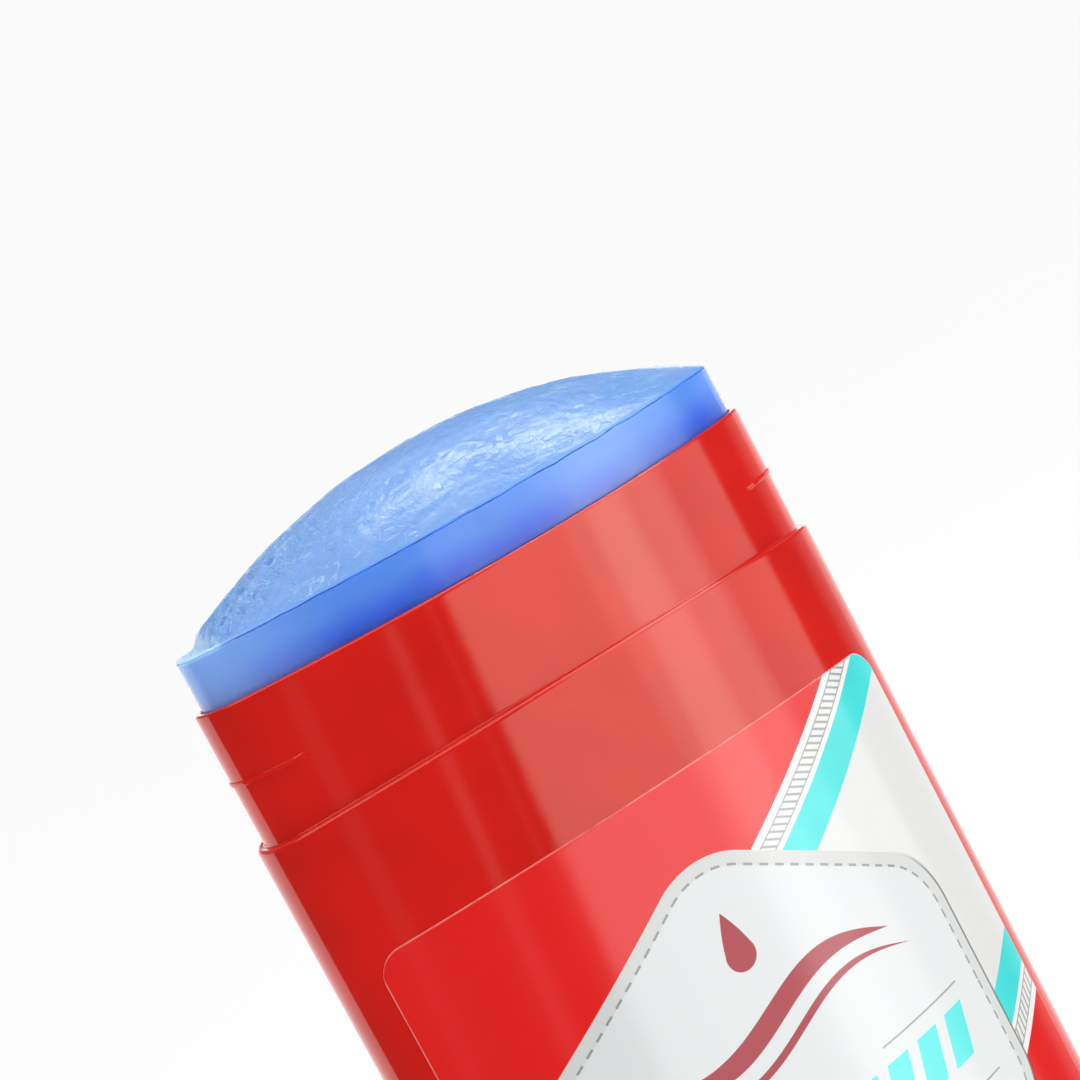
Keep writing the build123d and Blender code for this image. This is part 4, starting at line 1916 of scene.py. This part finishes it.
@dataclass
class Studio:
    """A pale floor, soft lamps, and the surroundings that the gloss reflects.

    Attributes:
        floor_radius: radius of the floor, in metres.
        floor_points: how many points its edge has.
        background: how bright the world is to the eye.
        fill: how bright it is to matt surfaces.
        dark: how bright it is in reflections where there is no panel.
        slant_from: elevation at which a leaning panel has its own azimuths, in degrees.
        seam: azimuths run from here up, once round.
        panels: the panels that the gloss reflects. Where two overlap, the brighter one shows.
        strip: the long lamp overhead.
    """

    floor_radius: float = 6.0
    floor_points: int = 96
    background: float = 0.955
    fill: float = 0.42
    dark: float = 0.16
    slant_from: float = -7.0
    seam: float = -120.0
    panels: tuple[Panel, ...] = (
        Panel(-0.8, 76.5, -70.0, 38.0, 1.75, soft=0.9, lean=0.64),
        Panel(-0.8, 63.0, -70.0, 38.0, 2.6, soft=0.9, lean=0.64, soft_right=9.0),
        Panel(27.0, 62.0, -70.0, 38.0, 3.4, soft=6.0),
        Panel(34.0, 51.0, -70.0, 38.0, 4.8, soft=6.0, lean=0.3),
        Panel(-16.2, -12.9, -60.0, 30.0, 0.75, soft=0.7, lean=0.78),
        Panel(-5.4, -4.2, -60.0, 14.0, 0.5, soft=0.4, lean=0.64),
        Panel(-42.0, -36.5, -60.0, 4.0, 0.35, soft=1.2, lean=0.5),
        Panel(92.0, 180.0, -70.0, 2.0, 1.7, soft=8.0),
        Panel(160.0, 260.0, -70.0, 2.0, 1.6, soft=1.6),
        Panel(100.0, 262.0, -2.0, 90.0, 0.36, soft=4.0),
        Panel(110.0, 206.0, 47.0, 58.0, 1.8, soft=4.0),
        Panel(-200.0, 400.0, 62.0, 95.0, 1.7, soft=4.0),
        Panel(-90.0, 100.0, 36.0, 60.0, 2.8, soft=4.0),
        Panel(95.0, 262.0, -4.0, 12.0, 1.6, soft=4.0),
    )
    strip: Strip = Strip(0.12, 1.05, 0.0, 0.16, 15.0)

    def floor(self) -> None:
        """Lays a round pale floor under the stick, a fan of faces round its middle."""
        count = self.floor_points
        ring = np.linspace(0, 2 * pi, count, endpoint=False)
        edge = np.stack([np.cos(ring), np.sin(ring), 0 * ring], axis=-1) * self.floor_radius / MM
        number = np.arange(count)
        fan = np.stack([number, (number + 1) % count, np.full(count, count)], axis=-1)
        material, paint, shader = new_material("pale_floor")
        clouds = paint.noise(60.0).above(0.5, 0.4)
        colour = paint.mix(clouds, (0.905, 0.905, 0.905), (0.895, 0.9, 0.9))
        paint.dress(shader, {"Base Color": colour, "Roughness": 0.8, "Specular IOR Level": 0.0})
        floor = mesh_object("floor", np.vstack([edge, np.zeros((1, 3))]), [fan], material)
        floor.visible_glossy = False

    def surroundings(self) -> None:
        """Paints the world: white to the eye, soft to matt surfaces, and panels to glossy ones.

        Formula: a direction's azimuth is the angle of X over -Y and its elevation that of Z over
        the level part. What the gloss sees is the brightest of the panels and the strip there.
        """
        world = bpy.data.worlds.new("studio")
        bpy.context.scene.world = world
        world.use_nodes = True
        world.cycles.sampling_method = "NONE"
        tree = world.node_tree
        tree.nodes.clear()
        paint = Paint(tree)
        x, y, z = paint.split(paint.new("ShaderNodeTexCoord").outputs["Generated"])
        degree = 180 / pi
        azimuth = x.heading(y * -1.0) * degree
        azimuth = azimuth + azimuth.below(self.seam, 0.001) * 360.0
        elevation = z.heading((x * x + y * y).root()) * degree
        light = Field(tree, self.dark)
        for panel in self.panels:
            light = light.most(panel.seen(azimuth, elevation, self.slant_from))
        light = light.most(self.strip.seen(x, y, z))
        path = paint.new("ShaderNodeLightPath")
        camera = Field(tree, path.outputs["Is Camera Ray"])
        glossy = Field(tree, path.outputs["Is Glossy Ray"])
        strength = self.fill + glossy * (light - self.fill)
        strength = strength + camera * (self.background - strength)
        background = paint.new("ShaderNodeBackground")
        background.inputs["Color"].default_value = (1.0, 1.0, 1.0, 1.0)
        feed(tree, background.inputs["Strength"], strength)
        output = paint.new("ShaderNodeOutputWorld")
        tree.links.new(background.outputs[0], output.inputs[0])

    def lamp(self, name: str, at: tuple[float, float, float], size: float, power: float) -> None:
        """Hangs a square soft lamp aimed at the stick.

        Args:
            name: the lamp's name.
            at: its place, in metres.
            size: the side of its square, in metres.
            power: its power, in watts.
        """
        data = bpy.data.lights.new(name, "AREA")
        data.size = size
        data.energy = power
        lamp = bpy.data.objects.new(name, data)
        bpy.context.scene.collection.objects.link(lamp)
        lamp.location = at
        aim = Vector((0.0, 0.0, 0.07)) - Vector(at)
        lamp.rotation_euler = aim.to_track_quat("-Z", "Y").to_euler()
        lamp.visible_camera = False
        lamp.visible_glossy = False

    def overhead(self, strength: float, spread: float) -> None:
        """Hangs a wide even light straight above, which whitens the floor.

        Args:
            strength: its strength, in watts a square metre.
            spread: how wide it looks, in degrees.
        """
        data = bpy.data.lights.new("overhead_light", "SUN")
        data.energy = strength
        data.angle = radians(spread)
        light = bpy.data.objects.new("overhead_light", data)
        bpy.context.scene.collection.objects.link(light)
        light.location = (0.0, 0.0, 1.0)
        light.visible_glossy = False

    def build(self) -> None:
        """Builds the floor, the surroundings and the lamps."""
        self.floor()
        self.surroundings()
        self.lamp("key_lamp", (0.35, -0.55, 0.32), 0.45, 1.5)
        self.overhead(2.0, 60.0)
        bpy.context.scene.view_settings.view_transform = "Standard"


@dataclass(frozen=True)
class Eye:
    """The camera: where it aims, from what side, and how it is rolled.

    Attributes:
        aim: the point in the middle of the view, in millimetres.
        distance: from that point, in millimetres.
        azimuth: its side, in degrees, 0 looking along +Y.
        elevation: its height over the level, in degrees.
        roll: how far the view is turned about its own axis, in degrees.
        lens: focal length on a 36 mm frame.
    """

    aim: tuple[float, float, float] = (6.49, 0.0, 108.10)
    distance: float = 231.62
    azimuth: float = -22.13
    elevation: float = 6.37
    roll: float = -27.84
    lens: float = 80.80

    def build(self) -> bpy.types.Object:
        """Builds the camera and makes it the scene's own.

        Formula: the view's back is (sin a cos e, -cos a cos e, sin e), its level right is
        (cos a, sin a, 0), and its up is back x right; right and up are then turned by the roll.

        Returns:
            The camera.
        """
        a, e, roll = radians(self.azimuth), radians(self.elevation), radians(self.roll)
        back = Vector((sin(a) * cos(e), -cos(a) * cos(e), sin(e)))
        level = Vector((cos(a), sin(a), 0.0))
        up = back.cross(level)
        right = cos(roll) * level + sin(roll) * up
        upward = -sin(roll) * level + cos(roll) * up
        turn = Matrix((right, upward, back)).transposed()
        data = bpy.data.cameras.new("eye")
        data.lens = self.lens
        data.sensor_width = 36.0
        data.clip_start = 0.01
        camera = bpy.data.objects.new("eye", data)
        bpy.context.scene.collection.objects.link(camera)
        place = (Vector(self.aim) + self.distance * back) * MM
        camera.matrix_world = Matrix.Translation(place) @ turn.to_4x4()
        bpy.context.scene.camera = camera
        return camera


# ---------------------------------------------------------------------------------------------
# The whole
# ---------------------------------------------------------------------------------------------


def main() -> None:
    """Builds the pieces in order and reports each one."""
    logging.basicConfig(level=logging.INFO, format="%(name)s: %(message)s")
    base_low, base_high = node_box("base")
    case_low, case_high = node_box("case")
    label_low, label_high = node_box("front_label")
    gel_low, gel_high = node_box("gel_stick")
    cap_low, cap_high = node_box("cap")
    spindle_low, spindle_high = node_box("screw_spindle")
    oval = Oval(width=base_high[0] - base_low[0], depth=base_high[1] - base_low[1], end=6.6)
    red = MouldedPlastic("base_plastic", linear(212, 22, 14), gloss=0.2)
    dial_red = MouldedPlastic("dial_plastic", linear(204, 21, 15), gloss=0.24)
    white = MouldedPlastic("elevator_plastic", linear(236, 236, 232), gloss=0.28, glow=0.3)
    middle = tuple((cap_low[:2] + cap_high[:2]) / 2)
    makers = [
        Case(oval, foot=case_low[2], rim=case_high[2]),
        Label(oval, Side.FRONT, foot=label_low[2], crown=label_high[2]),
        Label(oval, Side.BACK, foot=label_low[2], crown=label_high[2]),
        GelStick(oval, foot=gel_low[2], peak=gel_high[2]),
        Cap(oval, middle=middle, peak=cap_high[2]),
        ScrewSpindle(foot=spindle_low[2], top=spindle_high[2]),
        SmoothedNode("base", "base_cage", "root", "case_red", red),
        SmoothedNode("dial", "ribbed_dial", "dial", "dial_red", dial_red, bevel=0.06),
        SmoothedNode("elevator", "elevator_plate", "elevator", "inner_white", white),
    ]
    for maker in makers:
        piece = maker.build()
        log.info("%s: %d faces", piece.name, len(piece.data.polygons))
    Studio().build()
    Eye().build()


if __name__ == "__main__":
    main()
